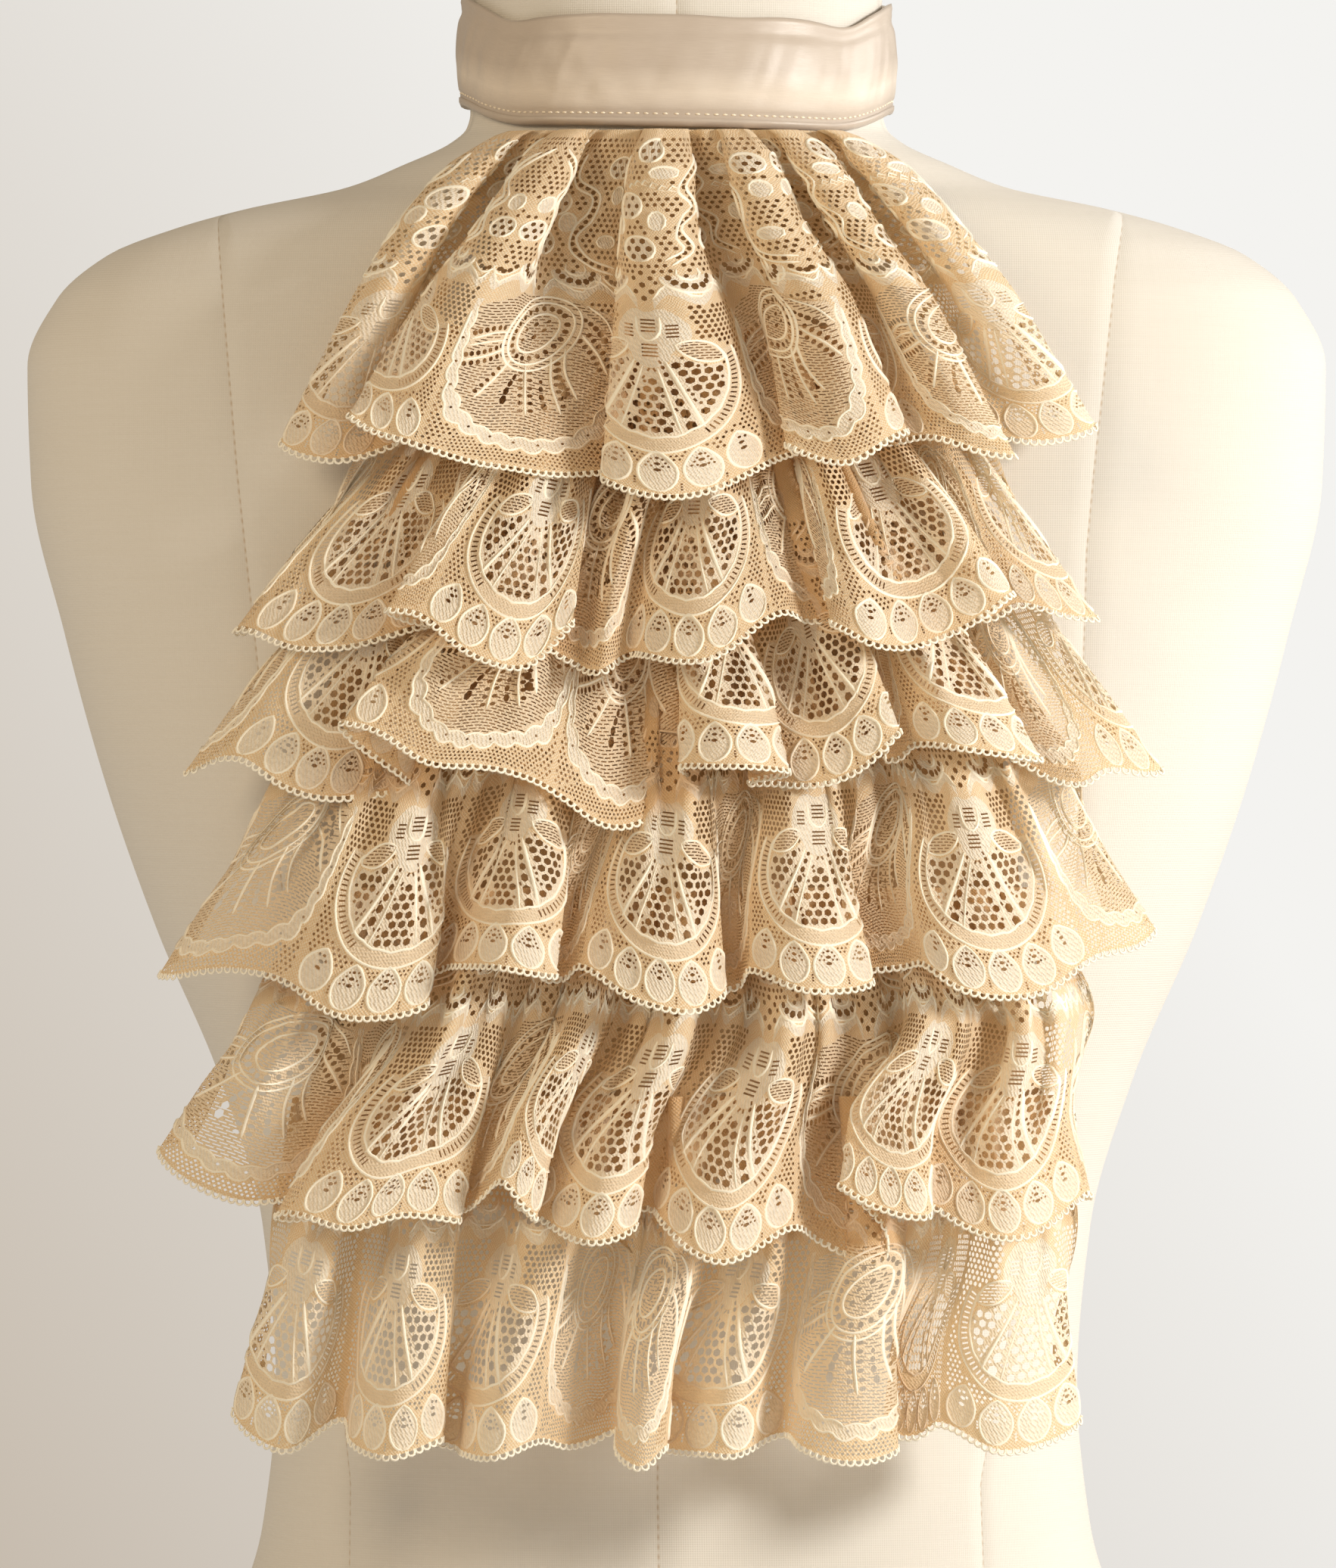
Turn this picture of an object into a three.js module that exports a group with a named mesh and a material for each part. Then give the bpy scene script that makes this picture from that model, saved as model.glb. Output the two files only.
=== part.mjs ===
// A lace jabot worn by a limbless dress form. Millimetres, +Z up, front towards -Y.
// Six tiers of gathered scalloped lace hang from a satin neckband and a plain backing.
// The origin is on the surface the form stands on, under the middle of the whole box.
import * as THREE from 'three';

// ---- Driving dimensions ----

const laceWall = 1.0;          // thickness of the lace wall
const bandWall = 1.6;          // folded satin ribbon
const backingWall = 1.0;
const seamGap = 0.4;           // clear space where two pieces are sewn or rest together

const bandFrontZ = 574.8;      // lower edge of the neckband at the centre front
const bandHeight = 31;
const bandRise = { side: 3, back: 6 };   // how much higher the band sits at side and back
const bandOverlap = 26;        // the ends pass each other at the back
const bandLift = 0.8;          // neckband clear of the neck

const bustZ = 345;             // below this height the cloth hangs straight down
const chestRound = { top: 574, full: 500, share: 0.8 };  // how much the cloth follows the chest
const chestClear = 1.2;        // the cloth's own surface stands this far off the form

const pleatDepth = 3.0;        // gathers at the sewn edge, from crest to hollow
const pleatFade = 0.55;        // share of a tier's height where they have died out
const seatOut = backingWall + 3 * seamGap + laceWall / 2 + pleatDepth / 2;

const hemStations = 80;        // steps along a tier, four for each small gather
const dropShares = [0, 0.22, 0.4, 0.56, 0.76, 1];   // steps down a tier
const scallopWidth = 50;
const scallopRise = 4;         // how far the hem climbs between two scallops

const formSides = 40;
const baseBoard = { thickness: 14, inset: 10 };
const neckCap = { thickness: 8, inset: 1.5, z: 646 };

// Dress form sections: height, half width, front and back depth, squareness of the outline.
const formColumns = ['z', 'half', 'front', 'back', 'square'];
const formSections = table(formColumns, [
  [14, 145, 98, 104, 2.3],
  [60, 149, 102, 108, 2.3],
  [115, 141, 98, 103, 2.3],
  [165, 123, 90, 90, 2.2],
  [200, 111.5, 85, 81, 2.2],
  [237, 108, 83, 78, 2.2],
  [280, 111.5, 92, 82, 2.2],
  [320, 123, 104, 88, 2.3],
  [360, 140, 110, 92, 2.3],
  [400, 154, 105, 95, 2.4],
  [440, 165, 94, 97, 2.4],
  [480, 174, 82, 97, 2.5],
  [512, 175, 73, 93, 2.5],
  [530, 167, 67, 88, 2.5],
  [542, 153, 62, 82, 2.4],
  [549, 135, 59, 77, 2.4],
  [554, 117, 57, 73, 2.3],
  [560, 89, 54, 67, 2.2],
  [566, 74, 52.5, 62, 2.2],
  [572, 61, 51.8, 58, 2.2],
  [576, 56.6, 51.6, 57, 2.2],
  [580, 55.6, 51.5, 56, 2.2],
  [612, 55.4, 52.5, 54, 2.2],
  [646, 55.4, 54, 52, 2.2],
]);

// Each tier: height and half width of its gathered edge, how fast its folds open downwards,
// the shares of its height where they begin to lie over each other and fully do,
// and its hem from the wearer's right to left: across, out from the chest, and height.
const hemColumns = ['x', 'out', 'z'];
const tiers = [
  {
    name: 'lace_tier_1', gatherZ: bandFrontZ - seamGap - 0.5, gatherHalf: 46, open: 1.1,
    lap: { from: 0.16, full: 0.55 },
    hem: table(hemColumns, [
      [-98, 5, 491], [-106, 12, 488], [-91, 18.5, 484], [-75, 18.5, 486],
      [-77, 25, 489], [-87, 31, 496], [-70, 37, 485], [-45, 30, 482], [-22, 22, 478], [-13, 19.5, 478],
      [-20, 31, 478], [-2, 38, 474], [20, 32, 478], [34, 20, 486],
      [29, 30, 488], [47, 38, 482], [62, 31, 490], [53, 19, 489],
      [72, 27, 487], [90, 27, 485], [78, 18, 488], [98, 19, 489],
      [112, 14, 493], [100, 5, 495],
    ]),
  },
  {
    name: 'lace_tier_2', gatherZ: 521, gatherHalf: 62, open: 1.4,
    lap: { from: 0.3, full: 0.75 },
    hem: table(hemColumns, [
      [-107, 5, 441], [-119, 13, 437], [-98, 22, 434], [-66, 23.5, 438],
      [-77, 32, 444], [-54, 39, 432], [-40, 37, 429], [-28, 31, 438], [-34, 24, 434],
      [-27, 23, 430], [-20, 29, 426], [-13, 23, 429], [-8, 31, 431], [8, 39, 431], [29, 32, 441],
      [35, 24, 441], [42, 24, 442], [41, 33, 440], [53, 39, 432], [70, 29, 437],
      [88, 32, 445], [91, 26, 446], [80, 22.5, 442], [98, 23, 443], [112, 17, 442], [103, 11, 445],
    ]),
  },
  {
    name: 'lace_tier_3', gatherZ: 486, gatherHalf: 75, open: 1.4,
    lap: { from: 0.3, full: 0.75 },
    hem: table(hemColumns, [
      [-117, 5, 408], [-131, 13, 401], [-116, 20, 402], [-96, 22, 395], [-71, 17.5, 393],
      [-73, 24, 400], [-90, 31, 413], [-68, 37, 404], [-48, 33, 402], [-30, 28, 391], [-14, 21, 387],
      [3, 17.5, 396], [1, 27, 400], [16, 35, 403], [30, 28, 401], [19, 17.5, 395],
      [44, 27, 400], [60, 30, 410], [55, 17.5, 405], [78, 33, 407], [97, 28, 404],
      [90, 17.5, 402], [110, 20, 398], [129, 15, 402], [115, 5, 406],
    ]),
  },
  {
    name: 'lace_tier_4', gatherZ: 433, gatherHalf: 88, open: 1.4,
    lap: { from: 0.3, full: 0.75 },
    hem: table(hemColumns, [
      [-132, 6, 349], [-139, 11.5, 346], [-135, 18, 347], [-119, 22.5, 349],
      [-92, 32, 337], [-66, 26, 339], [-70, 16, 342], [-63, 14.5, 347], [-57, 22, 350], [-45, 33, 350], [-32, 27, 345],
      [-36, 17, 346], [-31, 14, 347], [-26, 22, 347], [-9, 32, 341], [5, 32, 338],
      [13, 25, 340], [10, 16, 343], [16, 15, 345], [20, 24, 346], [35, 34, 344], [52, 27, 345], [45, 15, 347],
      [59, 18, 350], [76, 31, 343], [100, 28, 344], [127, 15, 360], [114, 5, 363],
    ]),
  },
  {
    name: 'lace_tier_5', gatherZ: 372, gatherHalf: 96, open: 1.4,
    lap: { from: 0.3, full: 0.75 },
    hem: table(hemColumns, [
      [-130, 5.5, 300], [-139, 11, 300], [-135, 17.5, 296], [-116, 19.5, 288],
      [-90, 15, 287], [-91, 21.5, 285], [-107, 27, 283], [-105, 32.5, 282], [-88, 35, 281], [-72, 31, 285], [-58, 26, 280], [-64, 16.5, 284],
      [-57, 15, 286], [-52, 23, 288], [-46, 31, 291], [-37, 26, 284], [-44, 15.5, 284],
      [-34, 22, 281], [-22, 32, 278], [-11, 25, 281], [-14, 17, 283],
      [-8, 15, 283], [-4, 24, 281], [11, 34, 273], [30, 25, 278], [38, 15, 276], [54, 16, 273],
      [55, 22, 280], [42, 28, 290], [66, 34, 283], [67, 22, 284], [76, 25, 281], [90, 31, 279],
      [110, 17, 288], [101, 8, 292],
    ]),
  },
  {
    name: 'lace_tier_6', gatherZ: 317, gatherHalf: 102, open: 1.4,
    lap: { from: 0.3, full: 0.75 },
    hem: table(hemColumns, [
      [-110, 4, 234], [-118, 11, 231], [-104, 18, 222], [-89, 8, 227], [-86, 20, 224],
      [-76, 29, 221], [-62, 22, 222], [-65, 10, 223], [-59, 9, 223], [-56, 19, 222], [-47, 29, 220],
      [-31, 15, 223], [-17, 5, 226], [-16, 20, 222], [-9, 27, 218], [-3, 20, 220],
      [-6, 6, 222], [7, 15, 222], [15, 18, 221], [27, 7, 223], [33, 22, 222],
      [46, 29, 220], [58, 23, 222], [54, 7, 225], [68, 13, 226], [86, 23, 222],
      [107, 15, 229], [99, 5, 233],
    ]),
  },
];

// Backing cloth: height and half width, hidden under the tiers.
const backingColumns = ['z', 'half'];
const backingRows = table(backingColumns, [
  [bandFrontZ - 1.2, 43],
  [545, 49],
  [505, 60],
  [455, 76],
  [400, 87],
  [345, 94],
  [309, 98],
]);
const backingSteps = 14;

const colours = {
  lace: { color: 0xf0deC0, roughness: 0.8, metalness: 0 },
  satin: { color: 0xe2d0bc, roughness: 0.35, metalness: 0 },
  backing: { color: 0xe9d8bb, roughness: 0.85, metalness: 0 },
  linen: { color: 0xeae3d8, roughness: 0.9, metalness: 0 },
  board: { color: 0xcdbfa9, roughness: 0.6, metalness: 0 },
};

// ---- Tables and curves ----

function table(columns, rows) {
  return rows.map((row) => Object.fromEntries(columns.map((name, k) => [name, row[k]])));
}

// A value from a table of rising or falling heights, as a smooth curve that never overshoots.
function smoothAt(rows, key, z) {
  const up = rows[0].z < rows[rows.length - 1].z ? rows : [...rows].reverse();
  const last = up.length - 1;
  const at = THREE.MathUtils.clamp(z, up[0].z, up[last].z);
  let k = 0;
  while (k < last - 1 && at > up[k + 1].z) k += 1;
  const slope = (i) => (up[i + 1][key] - up[i][key]) / (up[i + 1].z - up[i].z);
  const tangent = (i) => {
    if (i === 0) return slope(0);
    if (i === last) return slope(last - 1);
    const [before, after] = [slope(i - 1), slope(i)];
    return before * after <= 0 ? 0 : (2 * before * after) / (before + after);
  };
  const span = up[k + 1].z - up[k].z;
  const t = (at - up[k].z) / span;
  const rise = t * t * (3 - 2 * t);
  return up[k][key] * (1 - rise) + up[k + 1][key] * rise
    + span * t * (1 - t) * ((1 - t) * tangent(k) - t * tangent(k + 1));
}

// A point on the dress form's outline at a height, grown outwards by a small lift.
function formPoint(z, angle, lift = 0) {
  const power = 2 / smoothAt(formSections, 'square', z);
  const shape = (value) => Math.sign(value) * Math.abs(value) ** power;
  const depthKey = Math.sin(angle) < 0 ? 'front' : 'back';
  const half = smoothAt(formSections, 'half', z) + lift;
  const depth = smoothAt(formSections, depthKey, z) + lift;
  return new THREE.Vector3(half * shape(Math.cos(angle)), depth * shape(Math.sin(angle)), z);
}

// The surface the cloth lies against: the chest, a little flatter, and upright below the bust.
function chestY(x, z) {
  const height = Math.max(z, bustZ);
  const roundness = THREE.MathUtils.smoothstep(height, chestRound.full, chestRound.top);
  const share = THREE.MathUtils.lerp(chestRound.share, 1, roundness);
  const square = smoothAt(formSections, 'square', height);
  const across = Math.min(Math.abs(x * share) / smoothAt(formSections, 'half', height), 0.98);
  const depth = smoothAt(formSections, 'front', height) * (1 - across ** square) ** (1 / square);
  return -depth - chestClear;
}

// ---- Solids ----

function meshFrom(name, points, triangles, look) {
  const geometry = new THREE.BufferGeometry();
  const places = points.flatMap((point) => point.toArray());
  geometry.setAttribute('position', new THREE.Float32BufferAttribute(places, 3));
  geometry.setIndex(triangles.flat());
  geometry.computeVertexNormals();
  const mesh = new THREE.Mesh(geometry, new THREE.MeshStandardMaterial(look));
  mesh.name = name;
  return mesh;
}

// Normals of a grid of points, facing the front, from the neighbours across and down.
function sheetNormals(grid) {
  const rows = grid.length - 1;
  const columns = grid[0].length - 1;
  return grid.map((row, j) => row.map((_, i) => {
    const step = (a, b) => b.clone().sub(a).normalize();
    const across = step(row[Math.max(i - 1, 0)], row[i]).add(step(row[i], row[Math.min(i + 1, columns)]));
    const down = step(grid[Math.max(j - 1, 0)][i], grid[Math.min(j + 1, rows)][i]);
    return down.cross(across).normalize();
  }));
}

// A closed wall of even thickness round a grid of points. The grid runs across, then down.
function wall(name, grid, thickness, look) {
  const normals = sheetNormals(grid);
  const rows = grid.length;
  const columns = grid[0].length;
  const side = (sign) => grid.flatMap((row, j) => row.map(
    (point, i) => point.clone().addScaledVector(normals[j][i], sign * thickness / 2)));
  const points = [...side(1), ...side(-1)];
  const front = (j, i) => j * columns + i;
  const back = (j, i) => front(j, i) + rows * columns;
  const triangles = [];
  for (let j = 0; j < rows - 1; j += 1) {
    for (let i = 0; i < columns - 1; i += 1) {
      const corners = [[j, i], [j + 1, i], [j + 1, i + 1], [j, i + 1]];
      const [a, b, c, d] = corners.map((corner) => front(...corner));
      const [e, f, g, h] = corners.map((corner) => back(...corner));
      triangles.push([a, b, c], [a, c, d], [e, g, f], [e, h, g]);
    }
  }
  const rim = [];
  for (let j = 0; j < rows - 1; j += 1) rim.push([j, 0]);
  for (let i = 0; i < columns - 1; i += 1) rim.push([rows - 1, i]);
  for (let j = rows - 1; j > 0; j -= 1) rim.push([j, columns - 1]);
  for (let i = columns - 1; i > 0; i -= 1) rim.push([0, i]);
  rim.forEach((corner, k) => {
    const next = rim[(k + 1) % rim.length];
    triangles.push([front(...next), front(...corner), back(...corner)]);
    triangles.push([front(...next), back(...corner), back(...next)]);
  });
  return meshFrom(name, points, triangles, look);
}

// A closed solid through level rings of points, from the lowest up, with flat ends.
function loft(name, rings, look) {
  const sides = rings[0].length;
  const points = rings.flat();
  const middle = (ring) => new THREE.Vector3(0, 0, ring[0].z);
  const bottom = points.push(middle(rings[0])) - 1;
  const top = points.push(middle(rings[rings.length - 1])) - 1;
  const triangles = [];
  const lastRing = (rings.length - 1) * sides;
  for (let i = 0; i < sides; i += 1) {
    const next = (i + 1) % sides;
    triangles.push([bottom, next, i], [top, lastRing + i, lastRing + next]);
    for (let k = 0; k < lastRing; k += sides) {
      triangles.push([k + i, k + next, k + sides + next], [k + i, k + sides + next, k + sides + i]);
    }
  }
  return meshFrom(name, points, triangles, look);
}

function ring(z, sectionZ, lift) {
  return Array.from({ length: formSides }, (_, i) => {
    const point = formPoint(sectionZ, (i / formSides) * 2 * Math.PI, lift);
    return point.setZ(z);
  });
}

// ---- Pieces ----

function dressForm() {
  const heights = formSections.map((section) => section.z);
  return loft('dress_form', heights.map((z) => ring(z, z, 0)), colours.linen);
}

function boards() {
  const foot = formSections[0].z;
  const base = loft('base_board', [
    ring(0, foot, -baseBoard.inset),
    ring(baseBoard.thickness - seamGap, foot, -baseBoard.inset),
  ], colours.board);
  const capFoot = neckCap.z + seamGap;
  const capTop = capFoot + neckCap.thickness;
  const cap = loft('neck_cap', [
    ring(capFoot, neckCap.z, -neckCap.inset),
    ring(capTop - 3, neckCap.z, -neckCap.inset),
    ring(capTop, neckCap.z, -3 * neckCap.inset),
  ], colours.board);
  return [base, cap];
}

// The ribbon goes once round the neck, its far end lying over the near one at the back.
function neckband() {
  const back = Math.PI / 2;
  const neckRadius = 55;
  const half = Math.PI + bandOverlap / (2 * neckRadius);
  const steps = 52;
  const levels = [1, 0.5, 0];
  const lapRise = bandWall + seamGap;
  const grid = levels.map((level) => Array.from({ length: steps + 1 }, (_, i) => {
    const turn = THREE.MathUtils.lerp(-half, half, i / steps);
    const angle = turn - back;
    const rise = bandRise.side * Math.sin(turn) ** 2
      + bandRise.back * THREE.MathUtils.smoothstep(-Math.cos(turn), 0, 1);
    const z = bandFrontZ + rise + level * bandHeight;
    const lap = THREE.MathUtils.smoothstep(turn, half - 1.1, half - 0.6);
    return formPoint(z, angle, bandLift + bandWall / 2 + lapRise * lap);
  }));
  return wall('neckband', grid, bandWall, colours.satin);
}

function backing() {
  const out = seamGap / 2 + backingWall / 2;
  const [top, foot] = [backingRows[0].z, backingRows[backingRows.length - 1].z];
  const grid = Array.from({ length: backingSteps + 1 }, (_, j) => {
    const z = THREE.MathUtils.lerp(top, foot, j / backingSteps);
    const half = smoothAt(backingRows, 'half', z);
    return Array.from({ length: backingSteps + 1 }, (__, i) => {
      const x = THREE.MathUtils.lerp(-half, half, i / backingSteps);
      return new THREE.Vector3(x, chestY(x, z) - out, z);
    });
  });
  return wall('backing', grid, backingWall, colours.backing);
}

// The hem's turning points joined by one smooth line, stepped evenly along its length.
function hemLine(rows) {
  const points = rows.map((row) => new THREE.Vector3(row.x, row.out, row.z));
  const curve = new THREE.CatmullRomCurve3(points, false, 'centripetal');
  curve.arcLengthDivisions = 1200;
  const reach = Math.max(...rows.map((row) => Math.abs(row.x)));
  return { reach, length: curve.getLength(), points: curve.getSpacedPoints(hemStations) };
}

// One tier: gathered at its sewn edge, opening downwards into the folds of its hem.
function laceTier({ name, gatherZ, gatherHalf, open, lap, hem }) {
  const line = hemLine(hem);
  const scallops = Math.round(line.length / scallopWidth);
  const grid = dropShares.map((drop) => line.points.map((hemPoint, i) => {
    const along = i / hemStations;
    const gatherX = THREE.MathUtils.lerp(-gatherHalf, gatherHalf, along);
    const wave = Math.sin((i * Math.PI) / 2) * (pleatDepth / 2) * Math.max(0, 1 - drop / pleatFade);
    const notch = scallopRise * Math.abs(Math.cos(along * scallops * Math.PI)) ** 3;
    const fanX = THREE.MathUtils.lerp(-line.reach, line.reach, along);
    const layered = drop * THREE.MathUtils.smoothstep(drop, lap.from, lap.full);
    const x = THREE.MathUtils.lerp(gatherX, fanX, drop) + (hemPoint.x - fanX) * layered;
    const z = THREE.MathUtils.lerp(gatherZ, hemPoint.z + notch, drop);
    const out = seatOut + (hemPoint.y - seatOut) * drop ** open + wave;
    return new THREE.Vector3(x, chestY(x, z) - out, z);
  }));
  return wall(name, grid, laceWall, colours.lace);
}

// ---- The whole ----

const jabot = new THREE.Group();
jabot.add(dressForm(), ...boards(), neckband(), backing(), ...tiers.map(laceTier));

const box = new THREE.Box3().setFromObject(jabot);
const centre = box.getCenter(new THREE.Vector3());
jabot.position.set(-centre.x, -centre.y, -box.min.z);
jabot.updateMatrixWorld(true);

export default jabot;
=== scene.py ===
import math
import bpy
import numpy as np
from mathutils import Matrix, Vector
from mathutils.geometry import delaunay_2d_cdt


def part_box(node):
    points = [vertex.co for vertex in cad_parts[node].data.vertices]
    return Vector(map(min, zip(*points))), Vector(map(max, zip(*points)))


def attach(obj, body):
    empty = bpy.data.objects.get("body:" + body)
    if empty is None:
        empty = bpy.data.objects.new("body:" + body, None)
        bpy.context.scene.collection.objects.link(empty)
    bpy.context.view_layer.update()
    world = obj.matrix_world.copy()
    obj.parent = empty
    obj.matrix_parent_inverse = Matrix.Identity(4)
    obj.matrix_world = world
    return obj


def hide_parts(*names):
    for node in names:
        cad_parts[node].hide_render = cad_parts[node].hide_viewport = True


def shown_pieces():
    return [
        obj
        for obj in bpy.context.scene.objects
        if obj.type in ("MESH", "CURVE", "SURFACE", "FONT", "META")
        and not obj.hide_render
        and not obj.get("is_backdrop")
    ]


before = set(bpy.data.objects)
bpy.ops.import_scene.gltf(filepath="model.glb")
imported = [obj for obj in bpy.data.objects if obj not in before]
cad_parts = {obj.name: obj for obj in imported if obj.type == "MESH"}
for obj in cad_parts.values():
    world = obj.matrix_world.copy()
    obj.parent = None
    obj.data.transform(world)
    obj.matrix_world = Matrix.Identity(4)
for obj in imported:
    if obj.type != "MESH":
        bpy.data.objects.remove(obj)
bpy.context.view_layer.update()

# ---- camera ----

cameraAt = {
    "across": -0.0023, "back": -5.085, "height": 0.3993,
    "lens": 434.4, "sensor": 36.0, "far": 20,
}


def makeCamera(look):
    data = bpy.data.cameras.new("camera")
    data.lens = look["lens"]
    data.sensor_width = look["sensor"]
    data.clip_end = look["far"]
    camera = bpy.data.objects.new("camera", data)
    camera.location = (look["across"], look["back"], look["height"])
    camera.rotation_euler = (math.pi / 2, 0, 0)
    bpy.context.scene.collection.objects.link(camera)
    bpy.context.scene.camera = camera


makeCamera(cameraAt)
print("camera is set")

# ---- shader and node helpers ----


class Wire:    # one output of a node tree, so that a sum on it reads as a sum
    def __init__(self, tree, out=None):
        self.tree = tree
        self.out = out

    def node(self, kind, settings=None, inputs=None, output=0):
        made = self.tree.nodes.new(kind)
        for key, value in (settings or {}).items():
            setattr(made, key, value)
        for key, value in (inputs or {}).items():
            socket = made.inputs[key]
            if isinstance(value, Wire):
                self.tree.links.new(value.out, socket)
            else:
                socket.default_value = value
        return Wire(self.tree, made.outputs[output] if len(made.outputs) else None)

    def sum(self, operation, a, b=0.0):
        return self.node("ShaderNodeMath", {"operation": operation}, {0: a, 1: b})

    def __add__(self, other):
        return self.sum("ADD", self, other)

    def __radd__(self, other):
        return self.sum("ADD", other, self)

    def __sub__(self, other):
        return self.sum("SUBTRACT", self, other)

    def __rsub__(self, other):
        return self.sum("SUBTRACT", other, self)

    def __mul__(self, other):
        return self.sum("MULTIPLY", self, other)

    def __truediv__(self, other):
        return self.sum("DIVIDE", self, other)

    def sine(self):
        return self.sum("SINE", self)

    def size(self):
        return self.sum("ABSOLUTE", self)

    def clamped(self):
        return self.node("ShaderNodeClamp", None, {0: self})

    def blend(self, low, high):
        return self.node(
            "ShaderNodeMix", {"data_type": "RGBA"}, {0: self, 6: low, 7: high}, 2)


def newMaterial(name):
    material = bpy.data.materials.new(name)
    material.use_nodes = True
    tree = material.node_tree
    tree.nodes.clear()
    return material, Wire(tree)


def finishMaterial(wire, shader):
    wire.node("ShaderNodeOutputMaterial", None, {"Surface": shader})


def noise(wire, coordinates, scale, detail=2.0, roughness=0.5):
    return wire.node(
        "ShaderNodeTexNoise", None,
        {"Vector": coordinates, "Scale": scale, "Detail": detail, "Roughness": roughness})


def attribute(wire, name):
    return wire.node("ShaderNodeAttribute", {"attribute_name": name}, None, 2)


def clothPlace(wire):    # where a point lies on the cloth laid flat, in metres
    return wire.node("ShaderNodeUVMap", {"uv_map": "laid"})


def solidPlace(wire):    # where a point lies in the piece
    return wire.node("ShaderNodeTexCoord", None, None, 3)


def axis(wire, place, which):
    return wire.node("ShaderNodeSeparateXYZ", None, {0: place}, which)


def stretched(wire, place, scale):
    return wire.node("ShaderNodeMapping", None, {"Vector": place, "Scale": scale})


def bumps(wire, strength, distance, height):
    return wire.node("ShaderNodeBump", None, {"Strength": strength, "Distance": distance, "Height": height})


def surface(wire, base, rough, bump, more=None):
    inputs = {"Base Color": base, "Roughness": rough, "Normal": bump}
    return wire.node("ShaderNodeBsdfPrincipled", None, {**inputs, **(more or {})})


# ---- shared sizes and curves, in millimetres ----

mm = 0.001    # from millimetres to metres
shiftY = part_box("dress_form")[0].y * 1000 + 110    # the whole model is centred front to back
laceWall = 1.0
bandWall = 1.6
backingWall = 1.0
seamGap = 0.4
bandFrontZ = 574.8
bandHeight = 31
bandOverlap = 26
bandHalfTurn = math.pi + bandOverlap / 110    # half a turn round the neck and half the lap
bandLift = 0.8
bustZ = 345
chestRound = {"top": 574, "full": 500, "share": 0.8}
chestClear = 1.2
pleatDepth = 3.0
seatOut = backingWall + 3 * seamGap + laceWall / 2 + pleatDepth / 2

formSections = np.array([   # height, half width, front and back depth, squareness
    [14, 145, 98, 104, 2.3],
    [60, 149, 102, 108, 2.3],
    [115, 141, 98, 103, 2.3],
    [165, 123, 90, 90, 2.2],
    [200, 111.5, 85, 81, 2.2],
    [237, 108, 83, 78, 2.2],
    [280, 111.5, 92, 82, 2.2],
    [320, 123, 104, 88, 2.3],
    [360, 140, 110, 92, 2.3],
    [400, 154, 105, 95, 2.4],
    [440, 165, 94, 97, 2.4],
    [480, 174, 82, 97, 2.5],
    [512, 175, 73, 93, 2.5],
    [530, 167, 67, 88, 2.5],
    [542, 153, 62, 82, 2.4],
    [549, 135, 59, 77, 2.4],
    [554, 117, 57, 73, 2.3],
    [560, 89, 54, 67, 2.2],
    [566, 74, 52.5, 62, 2.2],
    [572, 61, 51.8, 58, 2.2],
    [576, 56.6, 51.6, 57, 2.2],
    [580, 55.6, 51.5, 56, 2.2],
    [612, 55.4, 52.5, 54, 2.2],
    [646, 55.4, 54, 52, 2.2],
])
formColumn = {"half": 1, "front": 2, "back": 3, "square": 4}


def smoothCurve(heights, values, z):    # a smooth curve through a table that never overshoots
    slope = np.diff(values) / np.diff(heights)
    tangent = np.empty(len(values))
    tangent[0], tangent[-1] = slope[0], slope[-1]
    product = slope[:-1] * slope[1:]
    total = np.where(product > 0, slope[:-1] + slope[1:], 1.0)
    tangent[1:-1] = np.where(product > 0, 2 * product / total, 0.0)
    at = np.clip(z, heights[0], heights[-1])
    k = np.clip(np.searchsorted(heights, at) - 1, 0, len(heights) - 2)
    span = heights[k + 1] - heights[k]
    t = (at - heights[k]) / span
    rise = t * t * (3 - 2 * t)
    pull = span * t * (1 - t) * ((1 - t) * tangent[k] - t * tangent[k + 1])
    return values[k] * (1 - rise) + values[k + 1] * rise + pull


def formAt(key, z):
    return smoothCurve(formSections[:, 0], formSections[:, formColumn[key]], z)


def smoothstep(value, low, high):
    t = np.clip((value - low) / (high - low), 0, 1)
    return t * t * (3 - 2 * t)


def lerp(a, b, t):
    return a + (b - a) * t


def formPoint(z, angle, lift=0.0):
    power = 2 / formAt("square", z)
    shape = lambda value: np.sign(value) * np.abs(value) ** power
    depth = np.where(np.sin(angle) < 0, formAt("front", z), formAt("back", z)) + lift
    half = formAt("half", z) + lift
    return np.stack([half * shape(np.cos(angle)), depth * shape(np.sin(angle)), z + 0 * angle], -1)


def chestY(x, z):
    height = np.maximum(z, bustZ)
    roundness = smoothstep(height, chestRound["full"], chestRound["top"])
    share = lerp(chestRound["share"], 1.0, roundness)
    square = formAt("square", height)
    across = np.minimum(np.abs(x * share) / formAt("half", height), 0.98)
    return -formAt("front", height) * (1 - across ** square) ** (1 / square) - chestClear


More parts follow.
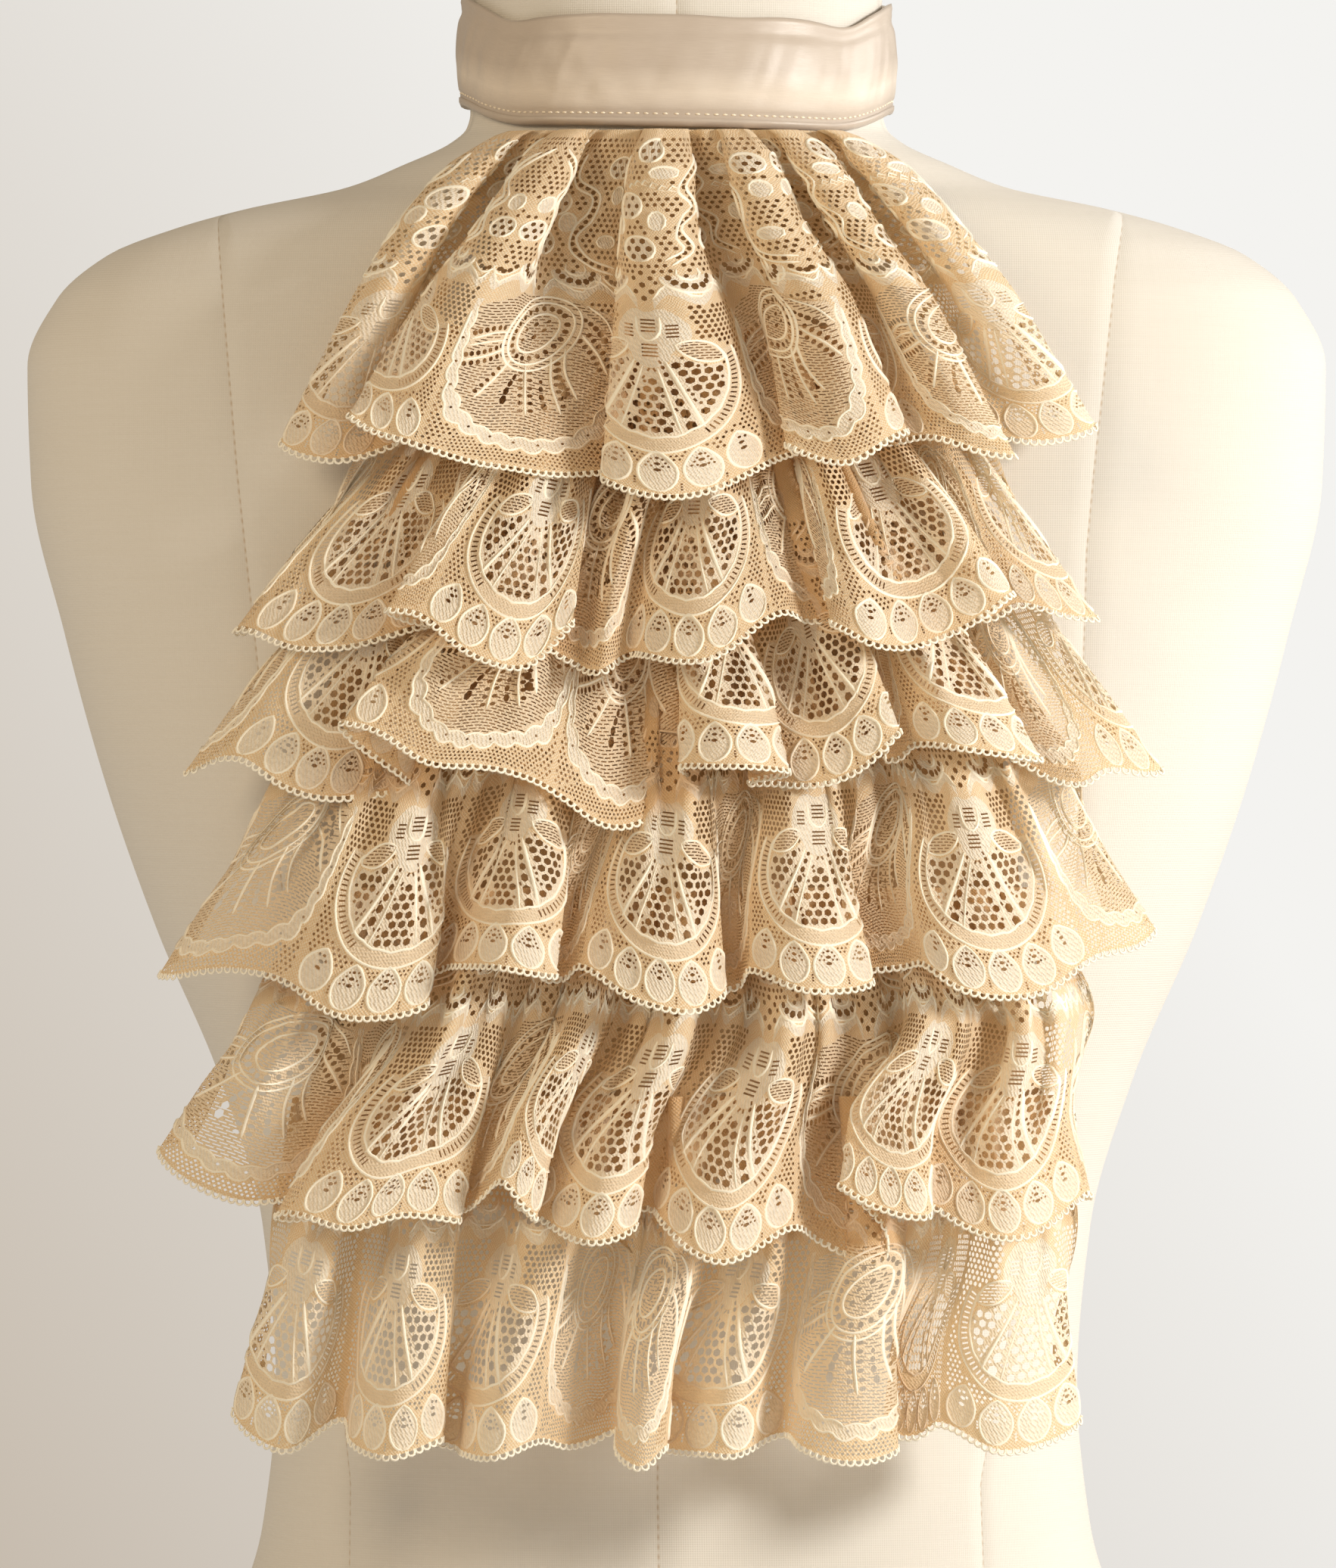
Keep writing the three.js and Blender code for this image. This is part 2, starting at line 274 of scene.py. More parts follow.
def throughPoints(points, count, closed=False):    # an even smooth line through a few points
    p = np.array(points, float)
    if closed:
        p = np.vstack([p[-1:], p, p[:2]])
    else:
        p = np.vstack([2 * p[0] - p[1], p, 2 * p[-1] - p[-2]])
    dense = []
    for k in range(1, len(p) - 2):
        a, b, c, d = p[k - 1], p[k], p[k + 1], p[k + 2]
        s0, s1, s2 = [max(np.sum((u - v) ** 2) ** 0.25, 1e-4) for u, v in ((a, b), (b, c), (c, d))]
        m1 = ((b - a) / s0 - (c - a) / (s0 + s1) + (c - b) / s1) * s1
        m2 = ((c - b) / s1 - (d - b) / (s1 + s2) + (d - c) / s2) * s1
        t = np.linspace(0, 1, 60, endpoint=False)[:, None]
        dense.append(b + m1 * t + (-3 * b + 3 * c - 2 * m1 - m2) * t ** 2
                     + (2 * b - 2 * c + m1 + m2) * t ** 3)
    dense = np.vstack(dense + [p[-2:-1]])
    run = np.concatenate([[0], np.cumsum(np.linalg.norm(np.diff(dense, axis=0), axis=1))])
    at = np.linspace(0, run[-1], count)
    return np.stack([np.interp(at, run, dense[:, k]) for k in range(p.shape[1])], -1)


def lengthOf(line):
    return float(np.sum(np.linalg.norm(np.diff(line, axis=0), axis=1)))


def wobble(value, seed, waves=5):    # a soft uneven wave, the same on every run
    spread = np.random.default_rng(seed)
    total = 0 * value
    for k in range(1, waves + 1):
        total = total + np.sin(value * k * (0.8 + 0.4 * spread.random()) + spread.random() * 6.28) / k
    return total / 1.6


# ---- making meshes ----


def makePiece(name, points, faces, material, attributes=None, uv=None):
    mesh = bpy.data.meshes.new(name)
    mesh.from_pydata((points * mm).tolist(), [], faces)
    mesh.materials.append(material)
    mesh.polygons.foreach_set("use_smooth", np.ones(len(mesh.polygons), bool))
    for key, (domain, values) in (attributes or {}).items():
        layer = mesh.attributes.new(key, "FLOAT", domain)
        layer.data.foreach_set("value", np.asarray(values, np.float32))
    if uv is not None:
        corners = np.zeros(len(mesh.loops), np.int32)
        mesh.loops.foreach_get("vertex_index", corners)
        mesh.uv_layers.new(name="laid")
        mesh.uv_layers["laid"].data.foreach_set("uv", (uv[corners] * mm).astype(np.float32).ravel())
    mesh.update()
    piece = bpy.data.objects.new(name, mesh)
    bpy.context.scene.collection.objects.link(piece)
    return piece


def settle(piece, slot, *nodes):
    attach(piece, "root")
    if nodes:
        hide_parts(*nodes)
    return piece


def moved(points):
    return points + np.array([0, shiftY, 0])


def gridFaces(rows, columns, closedAcross=False):
    faces = []
    wide = columns if closedAcross else columns - 1
    for j in range(rows - 1):
        for i in range(wide):
            a, b = j * columns + i, j * columns + (i + 1) % columns
            faces.append((a, b, b + columns, a + columns))
    return faces


def cappedFaces(rows, columns):    # closed rings, and two last points as the middles of foot and top
    faces = gridFaces(rows, columns, True)
    foot, top, last = rows * columns, rows * columns + 1, (rows - 1) * columns
    for i in range(columns):
        n = (i + 1) % columns
        faces.append((foot, n, i))
        faces.append((top, last + i, last + n))
    return faces


def tubeFaces(rings, steps):    # lines of points joined side by side into a tube with flat ends
    faces = []
    for j in range(rings):
        here, beside = j * steps, (j + 1) % rings * steps
        for i in range(steps - 1):
            faces.append((here + i, here + i + 1, beside + i + 1, beside + i))
    cap = [j * steps for j in range(rings)]
    return faces + [tuple(cap), tuple(k + steps - 1 for k in cap[::-1])]


# ---- the lace, charted flat ----

laceChart = {    # worked is how far up the openings and cords go, cut is for the shallower tiers
    "width": 50.0, "tall": 112.0, "worked": 111.0, "cutTall": 96.0, "cutWorked": 77.0,
    "notch": 4.0, "hem": 1.5, "cordWide": 0.78, "cordHigh": 0.5, "ladderGap": 0.62,
    "netRow": 0.866, "holeGrowth": 1.15, "gridAcross": 1.7, "gridUp": 3.0,
}


def notchAt(x):
    return laceChart["notch"] * np.abs(np.sin(np.pi * x / laceChart["width"])) ** 3


def hemY(x):
    return notchAt(x) + laceChart["hem"]


def turned(px, py, x, y, turn):
    c, s = math.cos(turn), math.sin(turn)
    return np.stack([x + px * c - py * s, y + px * s + py * c], -1)


def normalsOf(step):
    across = np.stack([-step[:, 1], step[:, 0]], -1)
    return across / np.maximum(np.linalg.norm(step, axis=1), 1e-6)[:, None]


def offsetLine(line, shift):
    return line + normalsOf(np.gradient(line, axis=0)) * np.asarray(shift)[:, None]


def insideOf(outline, x, y):
    p = np.asarray(outline)
    q = np.roll(p, -1, axis=0)
    hit = np.zeros(np.shape(x), bool)
    for (x0, y0), (x1, y1) in zip(p, q):
        if y0 == y1:
            continue
        crosses = (y0 > y) != (y1 > y)
        hit ^= crosses & (x < (x1 - x0) * (y - y0) / (y1 - y0) + x0)
    return hit


class Chart:    # one repeat of the lace: its openings, raised cords and close-woven shapes
    def __init__(self, top, worked):
        self.top, self.worked = top, worked
        self.holes, self.cords, self.shapes = [], [], []
        self.places, self.reaches = np.zeros((0, 2)), np.zeros(0)
        self.large = True

    def grow(self, points):    # all over the rosettes is drawn larger than it is written down
        p = np.array(points, float).reshape(-1, 2)
        if not self.large:
            return p
        x, y = np.abs(p[:, 0]), p[:, 1]
        share = smoothstep(y, 9, 20) * (1 - smoothstep(y, 50, 62))
        wide = lerp(x, np.interp(x, [0, 18.3, 25], [0, 21.4, 25]), share)
        rise = np.interp(y, [0, 9, 14.8, 50, 62, 112], [0, 9, 13.9, 57.5, 68.5, 112])
        return np.stack([np.sign(p[:, 0]) * wide, rise], -1)

    def keepClear(self, points, reach):
        self.clear(self.grow(points), reach)

    def clear(self, points, reach):
        points = np.atleast_2d(points)
        self.places = np.vstack([self.places, points])
        self.reaches = np.concatenate([self.reaches, np.full(len(points), reach)])

    def isFree(self, x, y, reach):
        if abs(x) > laceChart["width"] / 2 - reach - 0.25 or y > self.top - reach - 1:
            return False
        if y < hemY(x) + reach + 0.5:
            return False
        if not len(self.places):
            return True
        gaps = np.hypot(self.places[:, 0] - x, self.places[:, 1] - y) - self.reaches
        return bool(np.min(gaps) > reach)

    def hole(self, x, y, wide, high, turn=0.0, sides=6, gap=0.28, forced=False):
        x, y = self.grow([x, y])[0]
        more = laceChart["holeGrowth"] if self.large else 1.0
        return self.opening(x, y, wide * more, high * more, turn, sides, gap, forced)

    def pierce(self, x, y, wide, high, turn=0.0, sides=6):    # a hole cut whatever lies round it
        self.hole(x, y, wide, high, turn, sides, 0.0, True)

    def opening(self, x, y, wide, high, turn, sides, gap, forced=False):
        reach = (wide + high) / 4 + gap
        if not forced and not self.isFree(x, y, reach):
            return False
        if y > self.worked - high - 0.6 or y < hemY(x) + high / 2 + 0.3:
            return False
        if abs(x) > laceChart["width"] / 2 - wide / 2 - 0.15:
            return False
        t = (np.arange(sides) + 0.5) / sides * 2 * np.pi
        grow = 1 / math.cos(math.pi / sides) if sides == 4 else 1.0
        px, py = np.cos(t) * wide / 2 * grow, np.sin(t) * high / 2 * grow
        self.holes.append(turned(px, py, x, y, turn))
        self.clear([x, y], (wide + high) / 4)
        return True

    def cord(self, points, wide=None, high=None, closed=False, step=1.5, raw=False):
        points = self.grow(points)
        if raw:
            line = points
        else:
            rough = throughPoints(points, 40, closed)
            line = throughPoints(points, max(int(lengthOf(rough) / step) + 1, 4), closed)
        wide = wide or laceChart["cordWide"]
        self.cords.append((line, wide, high or laceChart["cordHigh"], closed))
        dense = throughPoints(line, max(int(lengthOf(line) / 0.5), 4))
        self.clear(dense, wide / 2 - 0.1)

    def shape(self, outline, weave):
        self.shapes.append((self.grow(outline), weave))

    def ladder(self, path, count, start, end, ratio=0.8, turnBy=0.0):
        line = throughPoints(path, 60)
        sizes, gap = np.linspace(start, end, count), laceChart["ladderGap"]
        run = np.cumsum(sizes + gap) - sizes / 2 - gap
        at = run / (np.sum(sizes + gap) - gap) * (len(line) - 1)
        for size, place in zip(sizes, at):
            x, y = [np.interp(place, np.arange(len(line)), line[:, k]) for k in (0, 1)]
            a, b = line[int(max(place - 1, 0))], line[int(min(place + 2, len(line) - 1))]
            turn = math.atan2(b[1] - a[1], b[0] - a[0]) + turnBy
            self.pierce(x, y, size * ratio, size, turn)

    def net(self, outline, pitch, size, gap=0.3, sides=6, oblong=None, flat=1.06):
        outline, row = self.grow(outline), laceChart["netRow"]
        low, high = outline.min(0), outline.max(0)
        rows = int((high[1] - low[1]) / (pitch * row)) + 2
        spots = []
        for j in range(rows):
            y = low[1] + j * pitch * row
            for i in range(int((high[0] - low[0]) / pitch) + 2):
                x = low[0] + (i + 0.5 * (j % 2)) * pitch
                if insideOf(outline, x, y):
                    spots.append((x, y))
                    self.opening(x, y, size, size * flat, 0.0, sides, gap)
        for x, y in spots if oblong else []:
            for side in (-1, 1):
                self.opening(x + side * pitch * 0.25, y + pitch * row / 2, oblong[0], oblong[1],
                             side * -0.52, 4, 0.1)

    def slits(self, outline, wide, tall, apart, rise):    # sheer cloth: threads with slits between
        outline = self.grow(outline)
        low, high = outline.min(0), outline.max(0)
        for j, y in enumerate(np.arange(low[1], high[1], rise)):
            for x in np.arange(low[0] + (j % 2) * apart / 2, high[0], apart):
                wave = x * 0.33 + y * 0.11
                bent = y + 0.5 * math.sin(wave)
                if insideOf(outline, x, bent) and insideOf(outline, x + wide * 0.5, bent):
                    self.opening(x, bent, wide, tall, 0.16 * math.cos(wave), 4, -0.3)

    def slots(self, low, high, pitch, wide):    # a striped window: threads with slits between
        for y in np.arange(low[1] + pitch / 2, high[1], pitch):
            self.pierce((low[0] + high[0]) / 2, y, high[0] - low[0], wide, 0.0, 4)


def ellipseArc(centre, across, up, start, end, count):
    t = np.radians(np.linspace(start, end, count))
    return np.stack([centre[0] + across * np.cos(t), centre[1] + up * np.sin(t)], -1)


def mirror(points):
    return [(-x, y) for x, y in points]


def bothSides(points):
    return (list(points), mirror(points))


def eggOutline(x, y, lean, count=14):
    t = np.linspace(0, 2 * np.pi, count, endpoint=False) - np.pi / 2
    narrow = 1 - 0.42 * np.clip(np.sin(t), 0, 1) ** 2
    px, py = 4.2 * np.cos(t) * narrow, 5.7 * np.sin(t) + 0.5 * np.clip(np.sin(t), 0, 1) ** 4
    return turned(px, py, x, y, lean)


def rosettes(chart):
    chart.large = False
    for k in range(-2, 3):
        x, lean = 9.6 * k, 0.11 * k
        y = float(hemY(x)) + 6.6
        outline = eggOutline(x, y, lean)
        chart.shape(outline, 1.0)
        chart.cord(np.vstack([outline, outline[:1]]), 0.75, 0.5, step=1.5)
        c, s = math.cos(lean), math.sin(lean)
        for up, wide, high in ((0.7, 1.8, 1.05), (2.5, 1.6, 1.0), (4.2, 1.05, 0.85)):
            chart.pierce(x - up * s, y + up * c, wide, high, lean)
        for up in (-0.2, 0.6, 1.4):
            chart.hole(x + 4.8, y - 4.9 + up + 0.35 * abs(k), 0.5, 0.55, 0, 4, 0.05)
    chart.large = True


def ringMotif(chart, x, y, r, count, size):    # a close-woven disc with a ring of openings
    chart.shape(ellipseArc((x, y), r * 1.5, r * 1.45, 0, 340, 18), 1.0)
    chart.pierce(x, y, size * 1.1, size * 1.1)
    for k in range(count):
        t = k / count * 2 * math.pi
        chart.pierce(x + r * math.cos(t), y + r * math.sin(t), size, size, t)
    chart.cord(ellipseArc((x, y), r * 1.5, r * 1.45, -80, 260, 18), 0.7, 0.55)


def ladderScroll(chart, path, apart, count, size):    # two cords with a row of openings between
    chart.cord(path, 0.7, 0.5)
    line = throughPoints(path, 24)
    other = offsetLine(line, np.full(24, apart))
    chart.cord(other[::3], 0.7, 0.5)
    chart.ladder(offsetLine(line, np.full(24, apart / 2))[1:-1:3], count, size, size * 1.1, 0.95,
                 math.pi / 2)


def middleScrolls(chart):    # bands and half rings of openings over the flower, 50 to 62
    for side in (-1, 1):
        band = [(side * 1.8, 51.0), (side * 5.2, 55.4), (side * 10.5, 51.2), (side * 15.5, 55.8),
                (side * 20.5, 51.0), (side * 24.4, 54.4)]
        line = throughPoints(band, 18)
        chart.shape(np.vstack([line + [0, 1.3], (line - [0, 1.5])[::-1]]), 1.0)
        chart.cord(line + [0, 1.4], 0.6, 0.45, raw=True)
        chart.keepClear(line, 1.3)
        chart.shape(ellipseArc((side * 10.8, 60.4), 6.4, 6.2, 185, 355, 16), 1.0)
        for k in range(7):
            t = math.radians(196 + k * 24.5)
            chart.pierce(side * 10.8 + 4.6 * math.cos(t), 60.6 + 4.5 * math.sin(t),
                         1.5 + 0.4 * math.sin(k / 6 * math.pi), 1.6, t)
        chart.cord(ellipseArc((side * 10.8, 60.4), 6.6, 6.4, 190, 350, 16), 0.65, 0.5)
        chart.cord(ellipseArc((side * 10.8, 60.8), 2.6, 2.6, 150, 390, 10), 0.6, 0.5)
        for k in range(5):
            t = math.radians(200 + k * 35)
            chart.pierce(side * 21.6 + 2.7 * math.cos(t), 59.6 + 3.2 * math.sin(t), 1.4, 1.4, t)
        chart.cord(ellipseArc((side * 21.6, 59.6), 4.1, 4.6, 200, 340, 10), 0.6, 0.45)
    for x, y, r in ((0, 52.8, 1.5), (-1.9, 55.0, 1.4), (1.9, 55.0, 1.4), (0, 57.2, 1.6),
                    (-2.3, 59.4, 1.3), (2.3, 59.4, 1.3), (0, 61.2, 1.4)):
        chart.pierce(x, y, r, r)


def upperScrolls(chart, side):    # scrolls, rings and net from 62 up
    at = lambda points: [(side * x, y) for x, y in points]
    ringMotif(chart, 0, 69.5, 3.1, 6, 1.6)
    ladderScroll(chart, at([(-22.5, 61.5), (-14, 65), (-10.5, 72), (-14.5, 79.5), (-15, 88), (-8, 94),
                            (-7.5, 103)]), 2.3, 22, 1.3)
    ladderScroll(chart, at([(8, 63.5), (13.5, 69), (11, 76.5), (16.5, 83.5), (12.5, 91), (17, 98),
                            (22.5, 104)]), 2.2, 22, 1.25)
    for x, y, r in ((-3, 84.5, 3.2), (20.2, 72, 2.7), (3, 104, 2.9), (-20, 98, 2.8)):
        ringMotif(chart, side * x, y, r, 6, 1.3)
    for x, y, across, up in ((-7.6, 77.5, 2.4, 3.6), (7, 96, 3.6, 2.2), (-21.4, 88, 2.4, 3.4),
                             (5.6, 79, 2.2, 3.4), (20.4, 82, 2.6, 3.2), (-19.4, 71, 3.2, 2.4)):
        petal = ellipseArc((side * x, y), across, up, 0, 338, 14)
        chart.shape(petal, 1.0)
        chart.cord(ellipseArc((side * x, y), across, up, -60, 250, 14), 0.65, 0.5)
        chart.keepClear([(side * x, y)], min(across, up))
    for k in range(6):
        chart.cord(ellipseArc((side * (-2 + 2.3 * k), 91.4 + 1.2 * math.sin(k)), 1.15, 1.15, 0, 300, 6),
                   0.5, 0.4)
    chart.net([(-24.8, 56), (24.8, 56), (24.8, 110), (-24.8, 110)], 1.95, 1.22, 0.2, 5)


def chartFan(top, worked):    # the repeat with rosettes, fan and flower
    chart = Chart(top, worked)
    rosettes(chart)
    outer = ellipseArc((0, 32.2), 18.3, 17.4, 157, 383, 46)
    inner = ellipseArc((0, 32.8), 15.2, 14.4, 157, 383, 40)
    chart.shape(np.vstack([outer, inner[::-1]]), 0.5)
    chart.cord(outer, 0.75, 0.5, raw=True)
    ripple = inner + np.stack([0 * inner[:, 0], 0.22 * np.sin(np.arange(len(inner)) * 1.9)], -1)
    chart.cord(ripple, 0.75, 0.5, raw=True)
    for turn in list(range(161, 236, 4)) + list(range(305, 381, 4)):
        t = math.radians(turn)
        chart.pierce(16.75 * math.cos(t), 32.5 + 15.9 * math.sin(t), 1.7, 0.4, t, 4)
    fan = np.vstack([inner[2:-2], [(12.5, 38.8), (5.5, 38), (3.6, 36.2), (0, 34.8), (-3.6, 36.2),
                                   (-5.5, 38), (-12.5, 38.8)]])
    flower = throughPoints([
        (0, 35.2), (3.3, 36.4), (4.6, 39.2), (7.4, 40.6), (8.0, 44.4), (5.7, 47.8), (2.7, 49.6),
        (0, 48.6), (-2.7, 49.6), (-5.7, 47.8), (-8.0, 44.4), (-7.4, 40.6), (-4.6, 39.2),
        (-3.3, 36.4)], 34, True)
    for start, end, thinStart, thinEnd, count in (
            ((-3.4, 37), (-11.2, 21.9), (-1.7, 35.6), (-7.0, 19.6), 7),
            ((3.0, 36.6), (9.2, 20.4), (1.3, 35.2), (5.0, 18.9), 7)):
        chart.cord([start, end], 0.9, 0.62, step=2.5)
        chart.cord([thinStart, thinEnd], 0.5, 0.4, step=2.5)
        a, b = [(np.array(p) + np.array(q)) / 2 for p, q in ((start, thinStart), (end, thinEnd))]
        chart.ladder([a, (a + b) / 2, b], count, 1.15, 2.9, 0.78, math.pi / 2)
    for leaf in bothSides([(4.9, 40.6), (8.4, 41.4), (12.2, 39.9), (14.4, 36.4), (11, 35.9),
                           (7.4, 37.4)]):
        line = throughPoints(leaf, 18, True)
        chart.shape(line, 0.5)
        chart.cord(line, 0.65, 0.45, raw=True)
        chart.slits(line, 1.5, 0.34, 2.0, 0.85)
        chart.keepClear([tuple(line.mean(0))], 2.2)
    spread = [(13.6, 35.4), (11, 35), (6.8, 36.8), (4.4, 38.4), (3.6, 36.2), (0, 34.8), (-3.6, 36.2),
              (-4.4, 38.4), (-6.8, 36.8), (-11, 35), (-13.6, 35.4)]
    chart.shape(np.vstack([inner[5:-5], spread]), 0.86)
    chart.net(fan, 2.75, 2.3, 0.1, 6, (0.55, 1.1), 0.95)
    chart.net(fan, 1.6, 1.0, 0.15, 5)
    chart.shape(flower, 1.0)
    chart.cord([(-2.5, 47.6), (-2.2, 43.6), (0, 41.7), (2.2, 43.6), (2.5, 47.6)], 0.65, 0.5)
    chart.keepClear(flower, 0.3)
    chart.keepClear([(0, 43), (0, 40), (-3.5, 44), (3.5, 44)], 4.2)
    for low, high in (((-1.6, 43.6), (1.6, 47.6)), ((-5.9, 42.2), (-3.4, 45.8)),
                      ((3.4, 42.2), (5.9, 45.8)), ((-1.7, 37.6), (1.7, 40.9))):
        chart.slots(low, high, 0.9, 0.42)
    middleScrolls(chart)
    for side in bothSides([(7.6, 38.5), (13, 41), (16.8, 37.6), (24.8, 36), (24.8, 49.6), (8.3, 50)]):
        chart.net(side, 1.75, 1.22, 0.16, 6)
    for side in bothSides([(24.8, 12), (24.8, 37), (18.8, 38), (19, 30), (16, 20), (9, 15.8),
                           (13.5, 13.5), (19, 16)]):
        chart.net(side, 1.5, 0.92, 0.16, 5)
    chart.net([(-12, 10), (12, 10), (10, 15.4), (-10, 15.4)], 1.2, 0.7, 0.12, 5)
    upperScrolls(chart, 1)
    return chart


def chartSpray(top, worked):    # the repeat with a lobed border and a spray of fronds
    chart = Chart(top, worked)
    half = [(-24.4, 47), (-23.2, 36), (-20.6, 25.5), (-16, 16.8), (-8.6, 11.0), (0, 9.2)]
    path = throughPoints(half + mirror(half[:-1])[::-1], 96)
    run = np.linspace(0, lengthOf(path), len(path))
    lobes = np.abs(np.sin(run * np.pi / 5.6)) ** 0.7
    under = offsetLine(path, -(0.7 + 2.1 * lobes))
    over = offsetLine(path, 0.9 + 1.5 * np.abs(np.cos(run * np.pi / 5.6)) ** 0.7)
    under[:, 0], over[:, 0] = np.clip(under[:, 0], -24.6, 24.6), np.clip(over[:, 0], -24.6, 24.6)
    chart.shape(np.vstack([under, over[::-1]]), 1.0)
    chart.cord(under[3:-3], 0.7, 0.5, raw=True)
    chart.cord(over[2:-2], 0.6, 0.45, raw=True)
    for place in path[4:-4:6]:
        chart.pierce(place[0], place[1], 0.75, 0.75, 0.0, 5)
    chart.keepClear(path, 1.3)
    panel = np.vstack([over[4:-4], [(20.5, 46), (8, 50), (-8, 50), (-20.5, 46)]])
    chart.shape(panel, 0.5)
    lean, turns = math.radians(38), np.linspace(0, 2 * math.pi, 44)

    def ring(across, up):
        px, py = across * np.cos(turns), up * np.sin(turns) * (1 - 0.1 * np.cos(turns))
        return turned(px, py, 0.6, 40.2, lean)

    for across, up in ((12.0, 8.7), (10.3, 7.1), (7.0, 4.1)):
        chart.cord(ring(across, up), 0.65, 0.5, raw=True)
    middle = ring(8.65, 5.6)
    for k in range(0, 42, 2):
        step = middle[(k + 1) % 43] - middle[k]
        chart.pierce(middle[k][0], middle[k][1], 1.45, 1.6, math.atan2(step[1], step[0]))
    for x, y, wide in ((-2.4, 40.6, 1.5), (0.6, 42.4, 1.9), (3.0, 41.2, 1.6), (0.2, 39.0, 1.9),
                       (4.0, 43.6, 1.4), (-3.4, 37.8, 1.5)):
        chart.hole(x, y, wide, wide * 0.62, lean, 6, 0.1, True)

    def frond(points, first, pitch, size, left=True, right=True, wide=0.75):
        chart.cord(points, wide, 0.55)
        line = throughPoints(points, 80)
        step = np.gradient(line, axis=0)
        normal = normalsOf(step)
        for share in np.arange(first, 0.99, pitch * 1.12 / lengthOf(line)):
            k = int(share * 79)
            turn = math.atan2(step[k][1], step[k][0])
            for side, wanted in ((1, left), (-1, right)):
                if wanted:
                    x, y = line[k] + normal[k] * side * (0.4 + size * 0.72)
                    chart.hole(x, y, size, size * 1.4, turn, 6, 0.08, True)

    frond([(-1.2, 31.2), (-0.6, 26), (0.4, 18.5)], 0.15, 1.75, 1.15)
    frond([(-6.2, 32.4), (-9.4, 27.2), (-13.2, 21.6)], 0.3, 1.7, 1.1, False)
    frond([(-9.2, 35), (-14.2, 32.6), (-19.2, 31.0)], 0.1, 1.35, 1.15)
    frond([(-9.6, 39.4), (-14, 38.8), (-19.4, 36.6)], 0.2, 1.3, 1.2, False)
    frond([(5.2, 34.6), (5.6, 28), (8.4, 20.2)], 0.12, 1.7, 1.15, True, False)
    frond([(8.2, 37), (8.6, 31), (11.8, 24.6)], 0.6, 1.9, 1.0, False)
    frond([(11.4, 41), (15.4, 36.6), (18.2, 31.6)], 0.08, 1.6, 1.2, True, True)
    chart.ladder([(6.9, 33.6), (7.4, 29.2), (9.7, 24.4)], 5, 1.2, 2.5, 1.0, math.pi / 2)
    chart.ladder([(-3.6, 28.4), (-5.2, 24.6), (-5.8, 20.8)], 4, 1.2, 1.9, 1.5)
    chart.ladder([(3.2, 28.2), (3.6, 24.4), (4.8, 20.6)], 4, 1.0, 1.7, 1.3)
    chart.ladder([(11.4, 45.2), (14.4, 43), (17.2, 39.6)], 5, 1.2, 1.9, 1.1)
    chart.cord([(-19.6, 34.8), (-15, 36.2), (-10.4, 37.2)], 0.6, 0.45)
    chart.slits(panel, 1.9, 0.34, 2.5, 0.92)
    chart.cord([(12, 48.6), (16.4, 45.4), (20.4, 40.4)], 0.6, 0.45)
    middleScrolls(chart)
    for side in bothSides([(24.7, 6.5), (24.7, 44), (22.6, 30), (18.5, 19), (14, 13)]):
        chart.net(side, 1.5, 0.92, 0.16, 5)
    low = np.stack([np.linspace(-24, 24, 30), hemY(np.linspace(-24, 24, 30)) + 0.7], -1)
    chart.net(np.vstack([low, under[8:-8][::-1]]), 1.2, 0.72, 0.12, 5)
    chart.net([(8.5, 48.4), (20, 46.6), (24.4, 48.5), (24, 50), (9, 50.6)], 1.8, 1.1)
    upperScrolls(chart, -1)
    return chart


def flatLace(chart):    # the flat cloth of one repeat as triangles, with each one's weave
    half = laceChart["width"] / 2
    spots, faces = [], []
    across = np.linspace(-half, half, 51)
    sides = np.arange(0, 1, 1 / 60) * (chart.top - hemY(half)) + hemY(half)
    low = [(x, float(hemY(x))) for x in across[:-1]]
    right = [(half, float(y)) for y in sides]
    high = [(x, chart.top) for x in across[::-1][:-1]]
    left = [(-half, float(y)) for y in np.append(sides[1:], chart.top)[::-1]]
    border = low + right + high + left
    spots += border
    faces.append(list(range(len(border))))
    for outline in chart.holes + [s[0] for s in chart.shapes]:
        base = len(spots)
        x, y = outline[:, 0], outline[:, 1]
        if np.sum(x * np.roll(y, -1) - np.roll(x, -1) * y) < 0:    # outlines run anticlockwise
            outline = outline[::-1]
        spots += [tuple(p) for p in outline]
        faces.append(list(range(base, len(spots))))
    holes = len(chart.holes)
    spread = np.random.default_rng(7)
    stepX, stepY = laceChart["gridAcross"], laceChart["gridUp"]
    for y in np.arange(hemY(0) + 0.9, chart.top - 0.8, stepY):
        for x in np.arange(-half + stepX / 2, half - 0.5, stepX):
            px, py = x + (spread.random() - 0.5) * 0.3, y + (spread.random() - 0.5) * 0.5
            if py > hemY(px) + 0.6:
                spots.append((px, py))
    made = delaunay_2d_cdt([Vector(p) for p in spots], [], faces, 0, 1e-4)
    points = np.array([tuple(p) for p in made[0]])
    triangles, weave = [], []
    for face, owners in zip(made[2], made[5]):
        if 0 not in owners or any(1 <= k <= holes for k in owners):
            continue
        triangles.append(tuple(face))
        over = [chart.shapes[k - holes - 1][1] for k in owners if k > holes]
        weave.append(max(over) if over else 0.0)
    triangles = np.array(triangles)
    a, b, c = [points[triangles[:, k]] for k in range(3)]
    area = (b[:, 0] - a[:, 0]) * (c[:, 1] - a[:, 1]) - (b[:, 1] - a[:, 1]) * (c[:, 0] - a[:, 0])
    triangles[area < 0] = triangles[area < 0][:, ::-1]
    keep = np.abs(area) > 1e-7
    return points, triangles[keep], np.array(weave)[keep], float(np.abs(area).sum() / 2)


